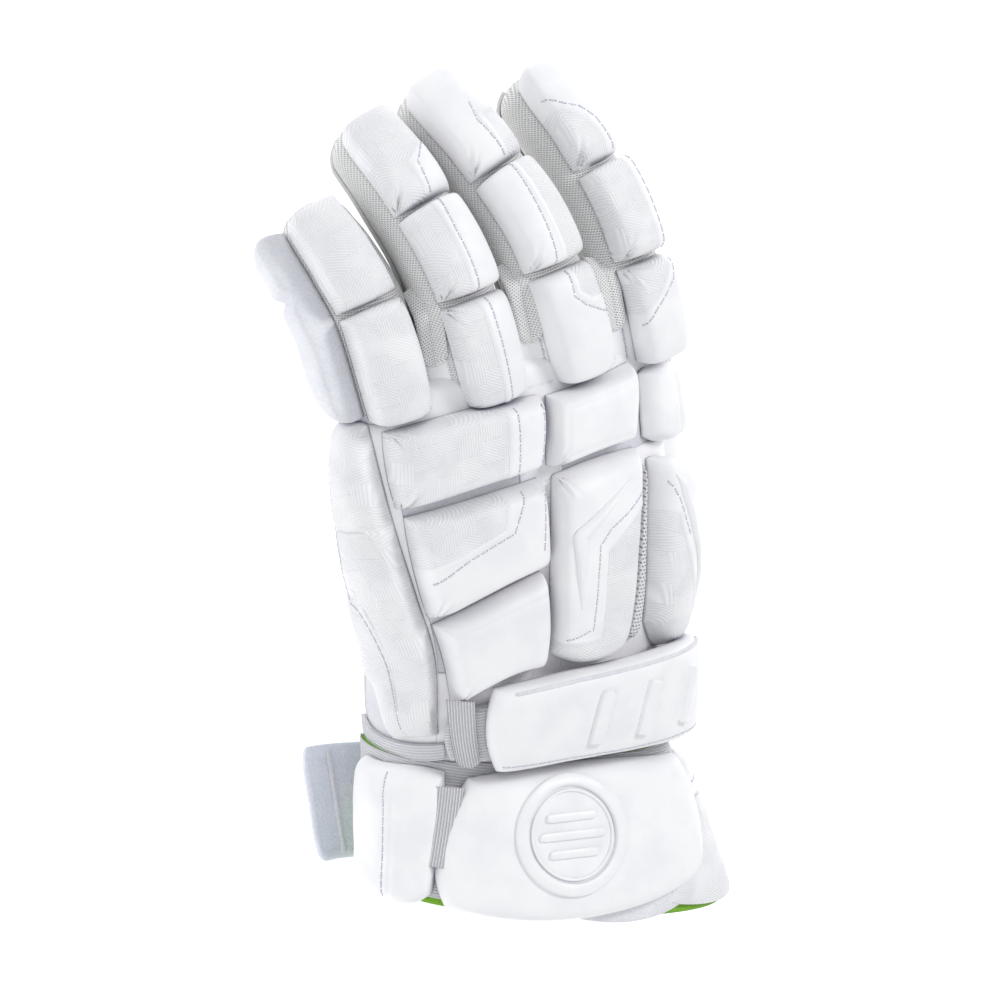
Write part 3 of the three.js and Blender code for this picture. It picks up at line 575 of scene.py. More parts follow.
def addStitches(line, normals):
    run = runs(line, 0)
    count = int(run[-1] // thread["step"])
    if count < 1:
        return

    def at(s, values):
        return np.stack([np.interp(s, run, values[:, k]) for k in range(3)], -1)

    middle = (np.arange(count) + 0.5) * run[-1] / count
    here = at(middle, line)
    forward = unit(at(middle + 0.5, line) - at(middle - 0.5, line))
    up = unit(at(middle, normals))
    axes = forward, unit(np.cross(forward, up)), up
    around, rings = 6, 5
    a, r = np.linspace(0, 2 * np.pi, around, endpoint=False), np.linspace(0, np.pi, rings)[:, None]
    ball = np.stack([np.cos(r) + 0 * a, np.sin(r) * np.cos(a), np.sin(r) * np.sin(a)], -1).reshape(-1, 3)

    def add(parts, centre, sizes):
        points = centre[:, None]
        for k in range(3):
            points = points + ball[None, :, k, None] * sizes[k] * axes[k][:, None]
        start = np.arange(count) * rings * around + parts["count"]
        faces = gridFaces(rings, around, closeAround=True)[None] + start[:, None, None]
        parts["points"].append(points.reshape(-1, 3))
        parts["faces"].append(faces.reshape(-1, 4))
        parts["count"] += count * rings * around

    half = thread["length"] / 2
    add(stitchParts, here + up * thread["lift"], (half, thread["half"], thread["rise"]))
    for end in (-1, 1):
        centre = here + forward * end * (half + thread["lift"]) + up * needleHole["lift"]
        add(holeParts, centre, (needleHole["half"], needleHole["half"], needleHole["rise"]))


# A pad is a closed pillow: its sole lies on the tube and its top stands `height` above it, full in
# the middle and falling to `rim` at the sewn edge by sqrt((1 - |u|^n)(1 - |v|^n)). On top of that
# come soft waves, creases out of the corners, sunk stitch lines and raised panel edges.
def spaced(count):  # from -1 to 1, closer at the ends where a pad bends down
    return np.sin(np.linspace(-1, 1, count) * np.pi / 2) * 0.6 + np.linspace(-1, 1, count) * 0.4


def padGrid(tube, place, form, rows, columns):
    u, v = np.meshgrid(spaced(rows), spaced(columns), indexing="ij")
    t, angle = patchPlace(tube, place, u, v)
    sole = tubePoint(tube, t, angle, form.get("seat", 0.6))
    away = tubeAway(tube, t, angle, form.get("spread", 0))
    edge, rim = form.get("edge", 12), form.get("rim", 1.4)
    full = np.sqrt((1 - np.abs(u) ** edge) * (1 - np.abs(v) ** edge))
    return u, v, sole, away, full, rim


pads = {}


def addPad(name, tube, place, form, look=None, slot="leather", node=None):
    look = look or {}
    rows, columns = look.get("grid", (60, 60))
    u, v, sole, away, full, rim = padGrid(tube, place, form, rows, columns)
    y, x = runs(sole, 0), centred(runs(sole, 1))
    y = y - y[rows // 2]
    halfX, halfY = np.abs(x).max(), np.abs(y).max()
    flatX, flatY = v * halfX, u * halfY

    def toMm(path):
        return [(b * halfX, a * halfY) for a, b in path]

    seed = sum(map(ord, name))
    lift = rim + (form["height"] - look.get("slack", 0.4) - rim) * full
    lift = lift + look.get("waves", 0.35) * ripples(sole, 16, seed) * full
    lift = lift + look.get("crown", 0.5) * (1 - u * u) * (1 - v * v) * full
    for cu, cv, depth, reach in look.get("puckers", ()):  # creases fanning out of a corner
        dx, dy = flatX - cv * halfX, flatY - cu * halfY
        r, fan = np.hypot(dx, dy), np.arctan2(dy, dx)
        folds = 0.55 * np.cos(11 * fan + seed + r * 0.25) + 0.45 * np.cos(17 * fan + 2 + seed)
        lift = lift - depth * np.exp(-((r / reach) ** 2)) * (0.6 + folds) * np.minimum(r / 2.0, 1)
    textured = np.full(u.shape, farOutside)
    for shape in look.get("textured", ()):
        textured = np.maximum(textured, insideShape(flatX, flatY, toMm(shape)))
    step = look.get("step", 0.45)
    if look.get("textured") and step:  # the smooth panel lies over the embossed one, with a raised lip
        lift = lift + step * (1 - np.clip((textured + 0.5) / 0.7, 0, 1)) * full
        lift = lift + 0.4 * np.exp(-(((textured + 1.3) / 0.8) ** 2)) * full
    seams = [(path, 0.7, 0.25) for path in look.get("stitches", ())]
    for path, width, depth in [*look.get("grooves", ()), *seams]:
        lift = lift - depth * np.exp(-((awayFromPath(flatX, flatY, toMm(path)) / width) ** 2)) * full
    top = sole + away * lift[..., None]
    normals = gridNormals(top)
    if np.mean(np.sum(normals * away, -1)) < 0:
        normals = -normals
    faces = pillowFaces(rows, columns)
    if np.sum(np.cross(top[1, 0] - top[0, 0], top[0, 1] - top[0, 0]) * away[0, 0]) < 0:
        faces = faces[:, ::-1]
    mm = np.stack([x, y], -1).reshape(-1, 2) + np.array([seed % 17, seed % 23])
    made = makeObject(
        name, np.concatenate([top, sole]).reshape(-1, 3), faces, look.get("material", "leather"),
        np.concatenate([mm, mm]), np.append(textured, np.full(textured.size, farOutside)),
    )
    finishPiece(made, slot, name if node is None else node)
    pads[name] = {"u": u[:, 0], "v": v[0], "top": top, "normals": normals}
    for path in look.get("stitches", ()):
        addStitches(*onPad(name, path))


def onPad(name, path):  # 200 even points of a (u, v) path
    path = np.array(path, float)
    run = runs(path, 0)
    s = np.linspace(0, run[-1], 200)
    return samplePad(pads[name], np.interp(s, run, path[:, 0]), np.interp(s, run, path[:, 1]))


def samplePad(pad, a, b):  # place and normal on a finished top at u = a and v = b
    i = np.clip(np.searchsorted(pad["u"], a) - 1, 0, len(pad["u"]) - 2)
    j = np.clip(np.searchsorted(pad["v"], b) - 1, 0, len(pad["v"]) - 2)
    fi = ((a - pad["u"][i]) / (pad["u"][i + 1] - pad["u"][i]))[..., None]
    fj = ((b - pad["v"][j]) / (pad["v"][j + 1] - pad["v"][j]))[..., None]

    def blend(values):
        low = values[i, j] * (1 - fj) + values[i, j + 1] * fj
        return low * (1 - fi) + (values[i + 1, j] * (1 - fj) + values[i + 1, j + 1] * fj) * fi

    return blend(pad["top"]), unit(blend(pad["normals"]))


wholePad = [(-2, -2), (-2, 2), (2, 2), (2, -2)]
fingerPads = {
    "pinky": {"left": -0.86, "right": 0.67, "ends": [0.094, 0.511, 1.162]},
    "ring": {"left": -0.7, "right": 0.94, "ends": [0.12, 0.394, 0.646, 1.194]},
    "middle": {"left": -0.76, "right": 0.84, "ends": [0.116, 0.387, 0.649, 1.21]},
    "index": {"left": -0.64, "right": 0.8, "ends": [0.081, 0.362, 0.618, 1.287]},
    "thumb": {"left": -0.88, "right": 0.88, "ends": [0.42, 0.72, 1.5], "height": 6},
}
pucker = (-1, -0.95, 2.0, 6.5)
fingerLooks = {
    "pinky_tip_pad": {"textured": [wholePad], "puckers": [(-1, 1, 1.2, 5)]},
    "pinky_base_pad": {"textured": [wholePad], "puckers": [(1, 1, 1.2, 5), (-1, 1, 1.0, 6)]},
    "ring_tip_pad": {
        "textured": [[(-0.2, 2), (-0.44, 0.66), (-0.56, 0.0), (-2, 0.0), (-2, -2), (2, -2), (2, 2)]],
        "stitches": [[(-0.36, 0.94), (-0.61, 0.26), (-0.97, 0.17)]], "puckers": [pucker],
    },
    "ring_middle_pad": {
        "textured": [[(2, -0.06), (0.5, -0.09), (-2, -0.2), (-2, -2), (2, -2)]],
        "stitches": [[(0.97, 0.2), (0.2, 0.08), (-0.97, 0.05)]], "puckers": [pucker],
    },
    "ring_base_pad": {
        "textured": [[(2, -0.15), (0.68, -0.09), (-2, -0.02), (-2, -2), (2, -2)]],
        "stitches": [[(0.97, 0.17), (-0.97, 0.17)]], "puckers": [(1, -1, 1.6, 6), (-1, -1, 1.0, 6)],
    },
    "middle_tip_pad": {
        "textured": [[(-0.44, 2), (-0.5, 0.3), (-2, 0.4), (-2, 2)]],
        "stitches": [[(-0.3, 0.3), (-0.54, 0.08), (-0.97, 0.2)]], "puckers": [pucker],
    },
    "middle_middle_pad": {
        "textured": [[(2, 0.34), (-2, 0.02), (-2, 2), (2, 2)]],
        "stitches": [[(0.97, 0.08), (-0.97, -0.25)]], "puckers": [pucker],
    },
    "middle_base_pad": {
        "textured": [[(2, 0.2), (0.6, 0.1), (0.46, 0.35), (0.3, 2), (2, 2)]],
        "stitches": [[(0.97, -0.04), (0.56, -0.16), (0.38, 0.1), (0.16, 0.68), (0.1, 0.93)]],
        "puckers": [(-1, 1, 1.4, 6)], "crown": 0.9,
    },
    "index_tip_pad": {
        "textured": [[(-0.25, -2), (-0.41, -0.61), (-0.59, -0.06), (-0.78, 0.16), (-2, 0.3), (-2, -2)]],
        "stitches": [[(-0.17, -0.94), (-0.36, -0.46), (-0.47, 0.01), (-0.62, 0.32), (-0.97, 0.5)]],
        "puckers": [pucker],
    },
    "index_middle_pad": {
        "textured": [[(2, 0.33), (-2, 0.34), (-2, -2), (2, -2)]],
        "stitches": [[(0.95, 0.72), (-0.97, 0.62)]], "puckers": [pucker],
    },
    "index_base_pad": {
        "textured": [[(2, -2), (0.1, -2), (0.16, -0.9), (0.38, -0.29), (0.62, 0.2), (0.8, 0.5), (2, 0.5)]],
        "stitches": [[(-0.04, -0.95), (0.2, -0.5), (0.45, 0.12), (0.6, 0.5), (0.95, 0.8)]],
        "puckers": [(1, -1, 1.6, 6)],
    },
}
padNames = {2: ["base", "tip"], 3: ["base", "middle", "tip"]}
seam = 0.006  # half the gap between two pads, as a share of the finger
for finger, row in fingerPads.items():
    ends = row["ends"]
    for part, near, far in zip(padNames[len(ends) - 1], ends[:-1], ends[1:]):
        name = f"{finger}_{part}_pad"
        place = patch([near + seam], [far - seam], [row["left"]], [row["right"]])
        form = {"height": row.get("height", 11), "edge": 11}
        addPad(name, digits[finger], place, form, fingerLooks.get(name))
print("finger pads made")

# Pads on the back of the hand: a patch, the form where it isn't the usual one, and the looks
handPads = {
    "knuckle_pad_ulnar": (
        patch([0.692, 0.724, 0.73], [0.865, 0.884, 0.881], [-0.882, -0.9], [-0.054, 0.026]), {}, {
            "grid": (72, 110), "textured": [[(-2, -2), (-2, 0.38), (2, 0.38), (2, -2)]],
            "stitches": [[(-0.95, 0.53), (0.95, 0.51)], [(-0.95, 0.9), (0.9, 0.9)]],
            "puckers": [(-1, -0.98, 1.8, 8), (1, -0.98, 1.2, 6), (1, 0.98, 1.0, 5)],
        },
    ),
    "knuckle_pad_radial": (
        patch([0.719, 0.734, 0.725], [0.875, 0.876, 0.884], [0.005, 0.057], [0.596, 0.694]), {}, {
            "grid": (64, 90), "crown": 1.2, "puckers": [(-1, -0.98, 1.2, 6)],
            "grooves": [([(-0.72, -0.8), (0.7, -0.8), (0.7, 0.85), (-0.72, 0.85), (-0.72, -0.8)], 1.4, 0.5)],
        },
    ),
    "knuckle_pad_side": (
        patch([0.707, 0.679, 0.679], [0.846, 0.852, 0.828], [0.711, 0.734], [1.0, 1.0]),
        {"height": 10, "spread": 1}, {"grooves": [([(-1, 0.1), (1, -0.1)], 1.8, 0.7)]},
    ),
    "back_pad_ulnar_upper": (
        patch([0.431, 0.488, 0.514], [0.677, 0.692, 0.705], [-0.829, -0.851], [-0.078, -0.042]), {}, {
            "grid": (80, 96), "textured": [[(2, -2), (2, 0.44), (0.34, 0.2), (0.14, -0.5), (-0.1, -2)]],
            "stitches": [
                [(0.97, 0.58), (0.19, 0.32), (0.0, -0.4), (-0.24, -0.93)], [(0.93, 0.91), (-0.5, 0.78)],
            ],
            "puckers": [(-1, -0.98, 1.6, 8), (1, 0.98, 1.2, 6)],
        },
    ),
    "back_pad_ulnar_lower": (
        patch([0.226, 0.276, 0.272], [0.419, 0.463, 0.497], [-0.724, -0.818], [-0.17, -0.103]), {}, {
            "grid": (64, 90), "crown": 0.9, "puckers": [(-1, -0.98, 1.2, 8), (1, -0.98, 0.8, 6)],
            "grooves": [([(0.72, -0.9), (0.66, 0.9)], 1.2, 0.45)],
        },
    ),
    "back_pad_radial": (
        patch([0.294, 0.252, 0.258], [0.703, 0.706, 0.701], [-0.116, 0.035], [0.434, 0.648]), {}, {
            "grid": (110, 90), "puckers": [(1, -0.98, 1.4, 7)], "textured": [
                [(0.62, 2), (0.48, 0.85), (0.16, 0.0), (-0.72, -0.04), (-0.95, -2), (-2, -2), (-2, 2)],
            ],
            "stitches": [[
                (0.64, 0.89), (0.49, 0.48), (0.38, 0.05), (0.24, -0.2), (-0.11, -0.22),
                (-0.6, -0.28), (-0.78, -0.9),
            ]],
        },
    ),
    "back_pad_radial_side": (
        patch([0.281, 0.202, 0.212], [0.662, 0.642, 0.593], [0.663, 0.726], [1.0, 0.985]), {"spread": 1}, {
            "grid": (100, 80), "textured": [
                [(-2, -2), (-2, 0.8), (-0.85, 0.71), (0.07, -0.44), (0.35, -0.75), (0.55, -2)],
            ],
            "stitches": [[(0.74, -0.96), (0.59, -0.86), (0.36, -0.6), (0.15, -0.2)]],
        },
    ),
    "side_panel": (
        patch([0.142, 0.158, 0.146], [0.809, 0.878, 0.893], [-0.958, -1.195], [-0.765, -0.94]),
        {"height": 9.3, "spread": 1},
        {"grid": (150, 48), "textured": [wholePad], "stitches": [[(-0.92, -0.35), (0.92, -0.5)]], "step": 0},
    ),
}
for name, (place, form, look) in handPads.items():
    addPad(name, hand, place, {"height": 13, **form}, look)
ventPlace = patch([0.268, 0.262, 0.262], [0.65], [0.5, 0.69], [0.6, 0.7])
ventLook = {"material": "silver", "grid": (90, 16), "slack": 0.2}
addPad("vent_mesh", hand, ventPlace, {"height": 5}, ventLook, slot="silver")
suedePlace = patch([0.1, 0.09, 0.1], [1.3, 1.25, 1.28], [-1.25, -1.24], [-0.89, -0.93])
suedeLook = {
    "material": "suede", "grid": (90, 48), "waves": 0.6, "grooves": [([(0.1, -1), (0.0, 1)], 3.2, 3.4)],
}
addPad("pinky_side_leather", digits["pinky"], suedePlace, {"height": 12.5, "spread": 1}, suedeLook)


# A band is a closed strip of even form along a line, rounded or ridged by the power of its profile
def addBand(name, line, normals, half, height, material, slot, node=None, power=0.6, closed=False, sides=16):
    step = (np.roll(line, -1, 0) - np.roll(line, 1, 0)) if closed else np.gradient(line, axis=0)
    across = unit(np.cross(unit(step), normals))
    a = np.linspace(0, 2 * np.pi, sides, endpoint=False)
    x, z = signedPower(np.cos(a), power), signedPower(np.sin(a), power)
    z = np.where(z < 0, 0.35 * z, z)
    half, height = np.broadcast_to(half, len(line)).copy(), np.broadcast_to(height, len(line)).copy()
    if not closed:
        half[[0, -1]], height[[0, -1]] = 0, 0
    p = line[:, None] + across[:, None] * (half[:, None] * x)[..., None]
    p = p + normals[:, None] * (height[:, None] * z)[..., None]
    if closed:
        p = np.concatenate([p, p[:1]])
    rings = len(p)
    mm = np.stack(np.broadcast_arrays(a * 2, runs(p[:, 0], 0)[:, None]), -1).reshape(-1, 2)
    faces = gridFaces(rings, sides, closeAround=True)[:, ::-1]
    made = makeObject(name, p.reshape(-1, 3), faces, material, mm)
    weld(made)
    finishPiece(made, slot, node or ())


# A rib follows a path on a pad, each row its u, v and half width
def addRib(name, padName, rows, height, slot="rubber", node=None, material="rubber", power=1.3):
    path = np.array(rows, float)
    run = runs(path[:, :2], 0)
    s = np.unique(np.concatenate([np.linspace(0, run[-1], 90), run]))
    u, v, half = [np.interp(s, run, path[:, k]) for k in range(3)]
    line, normals = samplePad(pads[padName], u, v)
    tall = height * np.minimum(half / path[:, 2].max() * 1.6, 1)
    addBand(name, line, normals, half, tall, material, slot, node, power)


def insideTube(tube, p, offset):  # which points lie inside a tube grown by the offset
    s, rows = np.linspace(0, 1, 81), tube["rows"]
    centre, forward, up, side = tubeFrame(tube, s)
    away = p[:, None] - centre
    ahead = np.sum(away * forward, -1)
    nearest = np.argmin(np.abs(ahead) + 0.08 * np.linalg.norm(away, axis=-1), axis=1)
    pick = np.arange(len(p)), nearest
    half, arch, rise, drop = [tableCurve(rows, key, s)[nearest] for key in ("half", "arch", "up", "down")]
    across = np.sum(away[pick] * side[nearest], -1) / (half + offset)
    high = np.sum(away[pick] * up[nearest], -1) + arch * across**2
    rise = np.where(high > 0, rise, drop)
    n = tube["squareness"]
    rounded = (np.abs(across) ** n + np.abs(high / (rise + offset)) ** n) ** (2 / n)
    beyond = np.maximum(ahead[pick], 0) * (nearest == len(s) - 1) / max(tube["tipLength"] + offset, 1e-6)
    behind = (nearest == 0) & (ahead[pick] < -2)
    return (rounded + beyond**2 < 1) & ~behind


def outward(points, faces, tube):  # faces turned so that they look away from the tube's middle line
    corners = points[faces]
    normal = np.cross(corners[:, 2] - corners[:, 0], corners[:, 3] - corners[:, 1])
    middle = corners.mean(1)
    centre = tubeFrame(tube, np.linspace(0, 1, 40))[0]
    nearest = centre[np.argmin(np.linalg.norm(middle[:, None] - centre, axis=-1), 1)]
    return faces if np.sum(normal * (middle - nearest)) > 0 else faces[:, ::-1]


def weld(made):  # joins the seam and the pole of a tube, and drops loose points
    work = bmesh.new()
    work.from_mesh(made.data)
    bmesh.ops.delete(work, geom=[v for v in work.verts if not v.link_faces], context="VERTS")
    bmesh.ops.remove_doubles(work, verts=work.verts, dist=1e-5)
    work.to_mesh(made.data)
    work.free()


# A sheet is a grid of points on a tube, less its faces inside other tubes, with an even wall
def addSheet(name, tube, p, wall, material, slot, node=None, others=()):
    mm = np.stack([centred(runs(p, 1)), runs(p, 0)], -1).reshape(-1, 2)
    points = p.reshape(-1, 3)
    faces = outward(points, gridFaces(*p.shape[:2]), tube)
    middle = points[faces].mean(1)
    keep = np.ones(len(faces), bool)
    for other, margin in others:
        keep &= ~insideTube(other, middle, margin)
    made = makeObject(name, points, faces[keep], material, mm)
    weld(made)
    solid = made.modifiers.new("wall", "SOLIDIFY")
    solid.thickness, solid.offset, solid.use_rim = wall / 1000, -1, True
    finishPiece(made, slot, name if node is None else node)


# Knitted liner and finger gussets: each a tube's whole surface, closed over the tip
def wholeTube(tube, count, around):
    tip = 1 + np.sin(np.linspace(0, np.pi / 2, 14))
    ts = np.append(np.linspace(0, 1, count)[:-1], tip)
    return tubePoint(tube, *np.meshgrid(ts, np.linspace(-90, 270, around + 1), indexing="ij"))


inFingers = [(tube, -1.8) for tube in digits.values()]
halves = ("liner_back", "liner_palm")
addSheet("liner", hand, wholeTube(hand, 70, 120), 2.0, "liner", "mesh", halves, inFingers)
earlier = [(hand, 0.0)]
for name, tube in digits.items():
    addSheet(f"{name}_gusset", tube, wholeTube(tube, 80, 72), 1.8, "mesh", "mesh", others=earlier)
    earlier.append((tube, 0.0))
print("pads, liner and gussets made")


# Between two fingers: t runs along them and k from the one to the other, over their upper sides
web = {"angle": 60, "sag": 2.0, "seam": 0.27, "seamLift": 0.75, "crown": 1.9, "dive": 7.0, "fold": 0.9}


def webPoint(left, right, t, k, lift=0.0):
    a = tubePoint(digits[left], t, web["angle"])
    b = tubePoint(digits[right], t, 180 - web["angle"])
    k = np.asarray(k)[..., None]
    p = a + (b - a) * k
    p[..., 2] += lift - web["sag"] * (4 * k * (1 - k))[..., 0] * np.clip(t / 0.2, 0, 1)
    return p


def addSolidSheet(name, top, sole, material, slot, node=None):  # two grids sewn round their border
    faces = pillowFaces(*top.shape[:2])
    i, j = top.shape[0] // 2, top.shape[1] // 2
    normal = np.cross(top[i + 1, j] - top[i, j], top[i, j + 1] - top[i, j])
    if np.sum(normal * (top[i, j] - sole[i, j])) < 0:
        faces = faces[:, ::-1]
    mm = np.stack([runs(top, 1), runs(top, 0)], -1).reshape(-1, 2)
    points = np.concatenate([top, sole]).reshape(-1, 3)
    made = makeObject(name, points, faces, material, np.concatenate([mm, mm]))
    finishPiece(made, slot, node or ())


# white leather from finger to finger, the rounded end of the mesh over it, and two seams
crotches = [
    {"pair": ("pinky", "ring"), "end": (0.25, 0.44), "far": (0.46, 0.68), "half": 5.2},
    {"pair": ("ring", "middle"), "end": (0.24, 0.6), "far": (0.42, 0.72), "half": 4.9},
    {"pair": ("middle", "index"), "end": (0.2, 0.58), "far": (0.38, 0.74), "half": 5.4},
]
for row in crotches:
    left, right = row["pair"]
    (endT, endK), (farT, farK) = row["end"], row["far"]
    t, k = np.meshgrid(np.linspace(0.02, endT + 0.1, 30), np.linspace(-0.12, 1.12, 30), indexing="ij")
    layers = [webPoint(left, right, t, k, lift) for lift in (0.6, -1.0)]
    addSolidSheet(f"{left}_{right}_bridge", *layers, "leather", "leather")
    a, b = np.meshgrid(np.linspace(0, 1, 60), np.linspace(-1, 1, 31), indexing="ij")
    ends = webPoint(left, right, np.array([endT, farT]), np.array([endK, farK]))
    reach = np.linalg.norm(ends[1] - ends[0])
    wide = row["half"] * np.sqrt(1 - (1 - np.clip(a * reach / row["half"], 0.02, 1)) ** 2)
    t = endT + (farT - endT) * a
    gap = np.linalg.norm(webPoint(left, right, t, 1.0) - webPoint(left, right, t, 0.0), axis=-1)
    k = endK + (farK - endK) * a + b * wide / gap
    full = np.sqrt(np.clip(1 - b**6, 0, 1)) * np.sqrt(np.clip(wide / row["half"], 0, 1))
    dive = web["dive"] * np.clip((a - 0.55) / 0.45, 0, 1) ** 2
    fold = web["fold"] * np.exp(-((b * wide / 0.8) ** 2)) * np.clip(a * reach / 3, 0, 1)
    layers = [webPoint(left, right, t, k, lift - dive) for lift in (0.9 + web["crown"] * full - fold, 0.3)]
    addSolidSheet(f"{left}_{right}_mesh_end", *layers, "mesh", "mesh")
    for side in (-1, 1):
        s = np.linspace(0.03, endT + 0.05, 60)
        line = webPoint(left, right, s, 0.5 + side * web["seam"] + 0 * s, web["seamLift"])
        addStitches(line, np.broadcast_to([0.0, 0.0, 1.0], line.shape))


# Leather on the palm and under the fingers, the hem, and other sheets of even thickness
def onTube(tube, place, offset, rows, columns):
    u, v = np.meshgrid(np.linspace(-1, 1, rows), np.linspace(-1, 1, columns), indexing="ij")
    return tubePoint(tube, *patchPlace(tube, place, u, v), offset)


for name, tube in digits.items():
    sheet = onTube(tube, patch([0.18], [1.7], [-1.3], [-2.7], rounding=0), 1.7, 60, 40)
    others = [(hand, 2.0)] + [(other, 0.3) for key, other in digits.items() if key != name]
    addSheet(f"{name}_leather", tube, sheet, 1.4, "palm", "palm", others=others)
sheet = onTube(hand, patch([0.06], [0.915], [-1.36], [-2.7], rounding=0), 1.7, 60, 74)
addSheet("palm_leather", hand, sheet, 1.4, "palm", "palm", others=[(tube, 0.3) for tube in digits.values()])
backings = {
    "bridge": patch([0.85], [0.97], [-0.86], [0.98], rounding=0),
    "centre": patch([0.2], [0.9], [-0.2, -0.14], [0.02, 0.16], rounding=0),
    "radial": patch([0.2], [0.69], [-0.12, 0.0], [1.0], rounding=0),
    "ulnar": patch([0.12], [0.88], [-0.98], [-0.78, -0.86], rounding=0),
    "wrist": patch([0.12], [0.3, 0.28, 0.26], [-0.9], [1.0], rounding=0),
}
for name, place in backings.items():
    sheet = onTube(hand, place, 0.45, 30, 30)
    addSheet(f"back_leather_{name}", hand, sheet, 0.4, "leather", "leather", node=())
sheet = onTube(hand, patch([0.125, 0.1, 0.095], [0.16, 0.14, 0.135], [-1.2], [-0.73]), 2.1, 12, 40)
addSheet("wrist_hem", hand, sheet, 1.8, "knit", "knit")
place = patch([0.1, 0.035, -0.03], [0.205, 0.22, 0.175], [-0.72], [0.99])
form = {"height": 7, "rim": 5, "spread": 1, "edge": 9}
addPad("wrist_backing", hand, place, form, {"material": "knit", "grid": (24, 60)}, slot="knit")
place = patch([0.06, 0.032, -0.049], [0.269, 0.248, 0.209], [-0.478, -0.504], [0.99, 0.972], rounding=0.2)
strapSeam = [(-0.8, -0.95), (-0.86, 0), (-0.8, 0.95)]
form = {"height": 11, "seat": 7.9, "rim": 2, "spread": 1}
addPad("wrist_strap", hand, place, form, {"grid": (60, 110), "crown": 0.8, "stitches": [strapSeam]})
place = patch([0.102, 0.085, 0.093], [0.253, 0.245, 0.239], [-0.65, -0.71], [-0.52, -0.56], rounding=0)
addSheet("strap_tab", hand, onTube(hand, place, 9.5, 40, 16), 1.6, "webbing", "webbing")

# Cuff: green lining with a knitted shell, three padded panels, badge and closure strap
sheet = onTube(cuff, patch([0.1, 0.07, 0.1], [1.0], [-1.3], [1.3], rounding=0), 1.5, 40, 120)
addSheet("cuff_lining", cuff, sheet, 1.5, "lining", "lining")
sheet = onTube(cuff, patch([0.13, 0.13, 0.16], [0.985], [-1.28], [1.28], rounding=0), 1.95, 40, 120)
addSheet("cuff_shell", cuff, sheet, 0.35, "knit", "knit", node=())
cuffPads = {
    "cuff_main_pad": (
        patch([0.043, 0.102, 0.333], [0.949, 0.982, 0.966], [-0.919, -0.67], [0.834, 0.977], rounding=0.45),
        {"height": 10.5, "seat": 3.6}, {"grid": (90, 140), "crown": 0.5, "waves": 0.5},
    ),
    "cuff_wing_ulnar": (
        patch([0.152, 0.077, 0.148], [0.943, 0.951, 0.952], [-1.059, -1.019], [-0.848, -0.693]),
        {"height": 8, "spread": 1}, {
            "grid": (90, 52), "waves": 0.5, "stitches": [[(-0.95, -0.27), (0.95, -0.5)]],
            "grooves": [([(-1, -0.1), (1, -0.35)], 1.0, 0.35)],
        },
    ),
    "cuff_wing_radial": (
        patch([0.12, 0.1, 0.09], [0.9, 0.9, 0.92], [0.4, 1.0], [1.2, 1.15]), {"height": 5, "spread": 1}, {
            "grid": (80, 60), "waves": 0.4, "textured": [[(0.45, -2), (0.45, 2), (-2, 2), (-2, -2)]],
            "stitches": [[(0.62, -0.9), (0.62, 0.6)]],
            "grooves": [
                ([(-0.95, 0.72), (0.95, 0.62)], 0.5, 0.5), ([(-0.95, 0.86), (0.95, 0.78)], 0.5, 0.5),
            ],
        },
    ),
}
for name, (place, form, look) in cuffPads.items():
    addPad(name, cuff, {"rounding": 0.22, **place}, {"seat": 2.1, **form}, look)
place = patch([0.36], [0.86], [-0.86, -0.8], [-0.74, -0.6], rounding=0)
addSheet("cuff_tab", cuff, onTube(cuff, place, 8.0, 50, 16), 1.4, "webbing", "webbing", node=())
place = patch([0.05, 0.06, 0.2], [0.5, 0.5, 0.6], [-0.14, -0.14], [0.72, 0.8], rounding=0.3)
form = {"seat": 1.9, "height": 3.0, "rim": 1.5}
addPad("cuff_trim", cuff, place, form, {"material": "binding", "grid": (40, 60), "waves": 0.5}, node=())

# Rubber chevrons, the plain bars and the binding of the strap
chevron = [(0.8, 0.52, 0.3), (0.38, -0.66, 3.2), (-0.41, -0.6, 0.3)]
addRib("back_chevron", "back_pad_radial", chevron, 2.3, node="back_chevron")
chevron = [(0.81, -0.86, 0.3), (0.6, -0.6, 2.0), (0.29, -0.07, 2.2), (-0.22, 0.6, 1.6), (-0.8, 0.7, 0.3)]
addRib("side_chevron", "back_pad_radial_side", chevron, 1.8)
for k, place in enumerate([-0.2, 0.2, 0.6]):
    bar = [(-0.55, place, 2.9), (0.55, place + 0.12, 2.9)]
    addRib(f"strap_bar_{k + 1}", "wrist_strap", bar, 2.2, node=f"strap_bar_{k + 1}", power=0.35)
binding = [(0.9, -0.86, 0.8), (0.9, 0.97, 0.8)]
addRib("strap_binding", "wrist_strap", binding, 0.9, slot="knit", material="binding", power=0.8)

# Round badge: a broad ring, a fine ring inside it and three level bars
badge = {
    "u": 0.18, "v": -0.2, "rings": [("cuff_badge", 21.0, 2.5, 1.9), ("badge_ring", 17.0, 0.5, 0.9)],
    "bars": [(-7.0, 22.0), (0.0, 29.0), (7.0, 22.0)], "barHalf": 1.7, "barRise": 1.3,
}


def onBadge(x, y):  # millimetres across and along the cuff's pad from the badge's middle
    pad = pads["cuff_main_pad"]
    step = 0.02
    near = samplePad(pad, np.array([0, step, 0]) + badge["u"], np.array([0, 0, step]) + badge["v"])[0]
    alongU, alongV = (near[1] - near[0]) / step, (near[2] - near[0]) / step
    across = unit(alongV)
    plane = np.stack([across, unit(alongU - across * (alongU @ across))])
    solve = np.linalg.inv(plane @ np.stack([alongU, alongV], 1))
    wanted = np.stack([x, y])
    uv = np.array([[badge["u"]], [badge["v"]]]) + solve @ wanted
    for _ in range(8):  # until the point lies at (x, y) in the plane that touches the pad at the middle
        uv = uv + 0.8 * solve @ (wanted - plane @ (samplePad(pad, *uv)[0] - near[0]).T)
    return samplePad(pad, *uv)


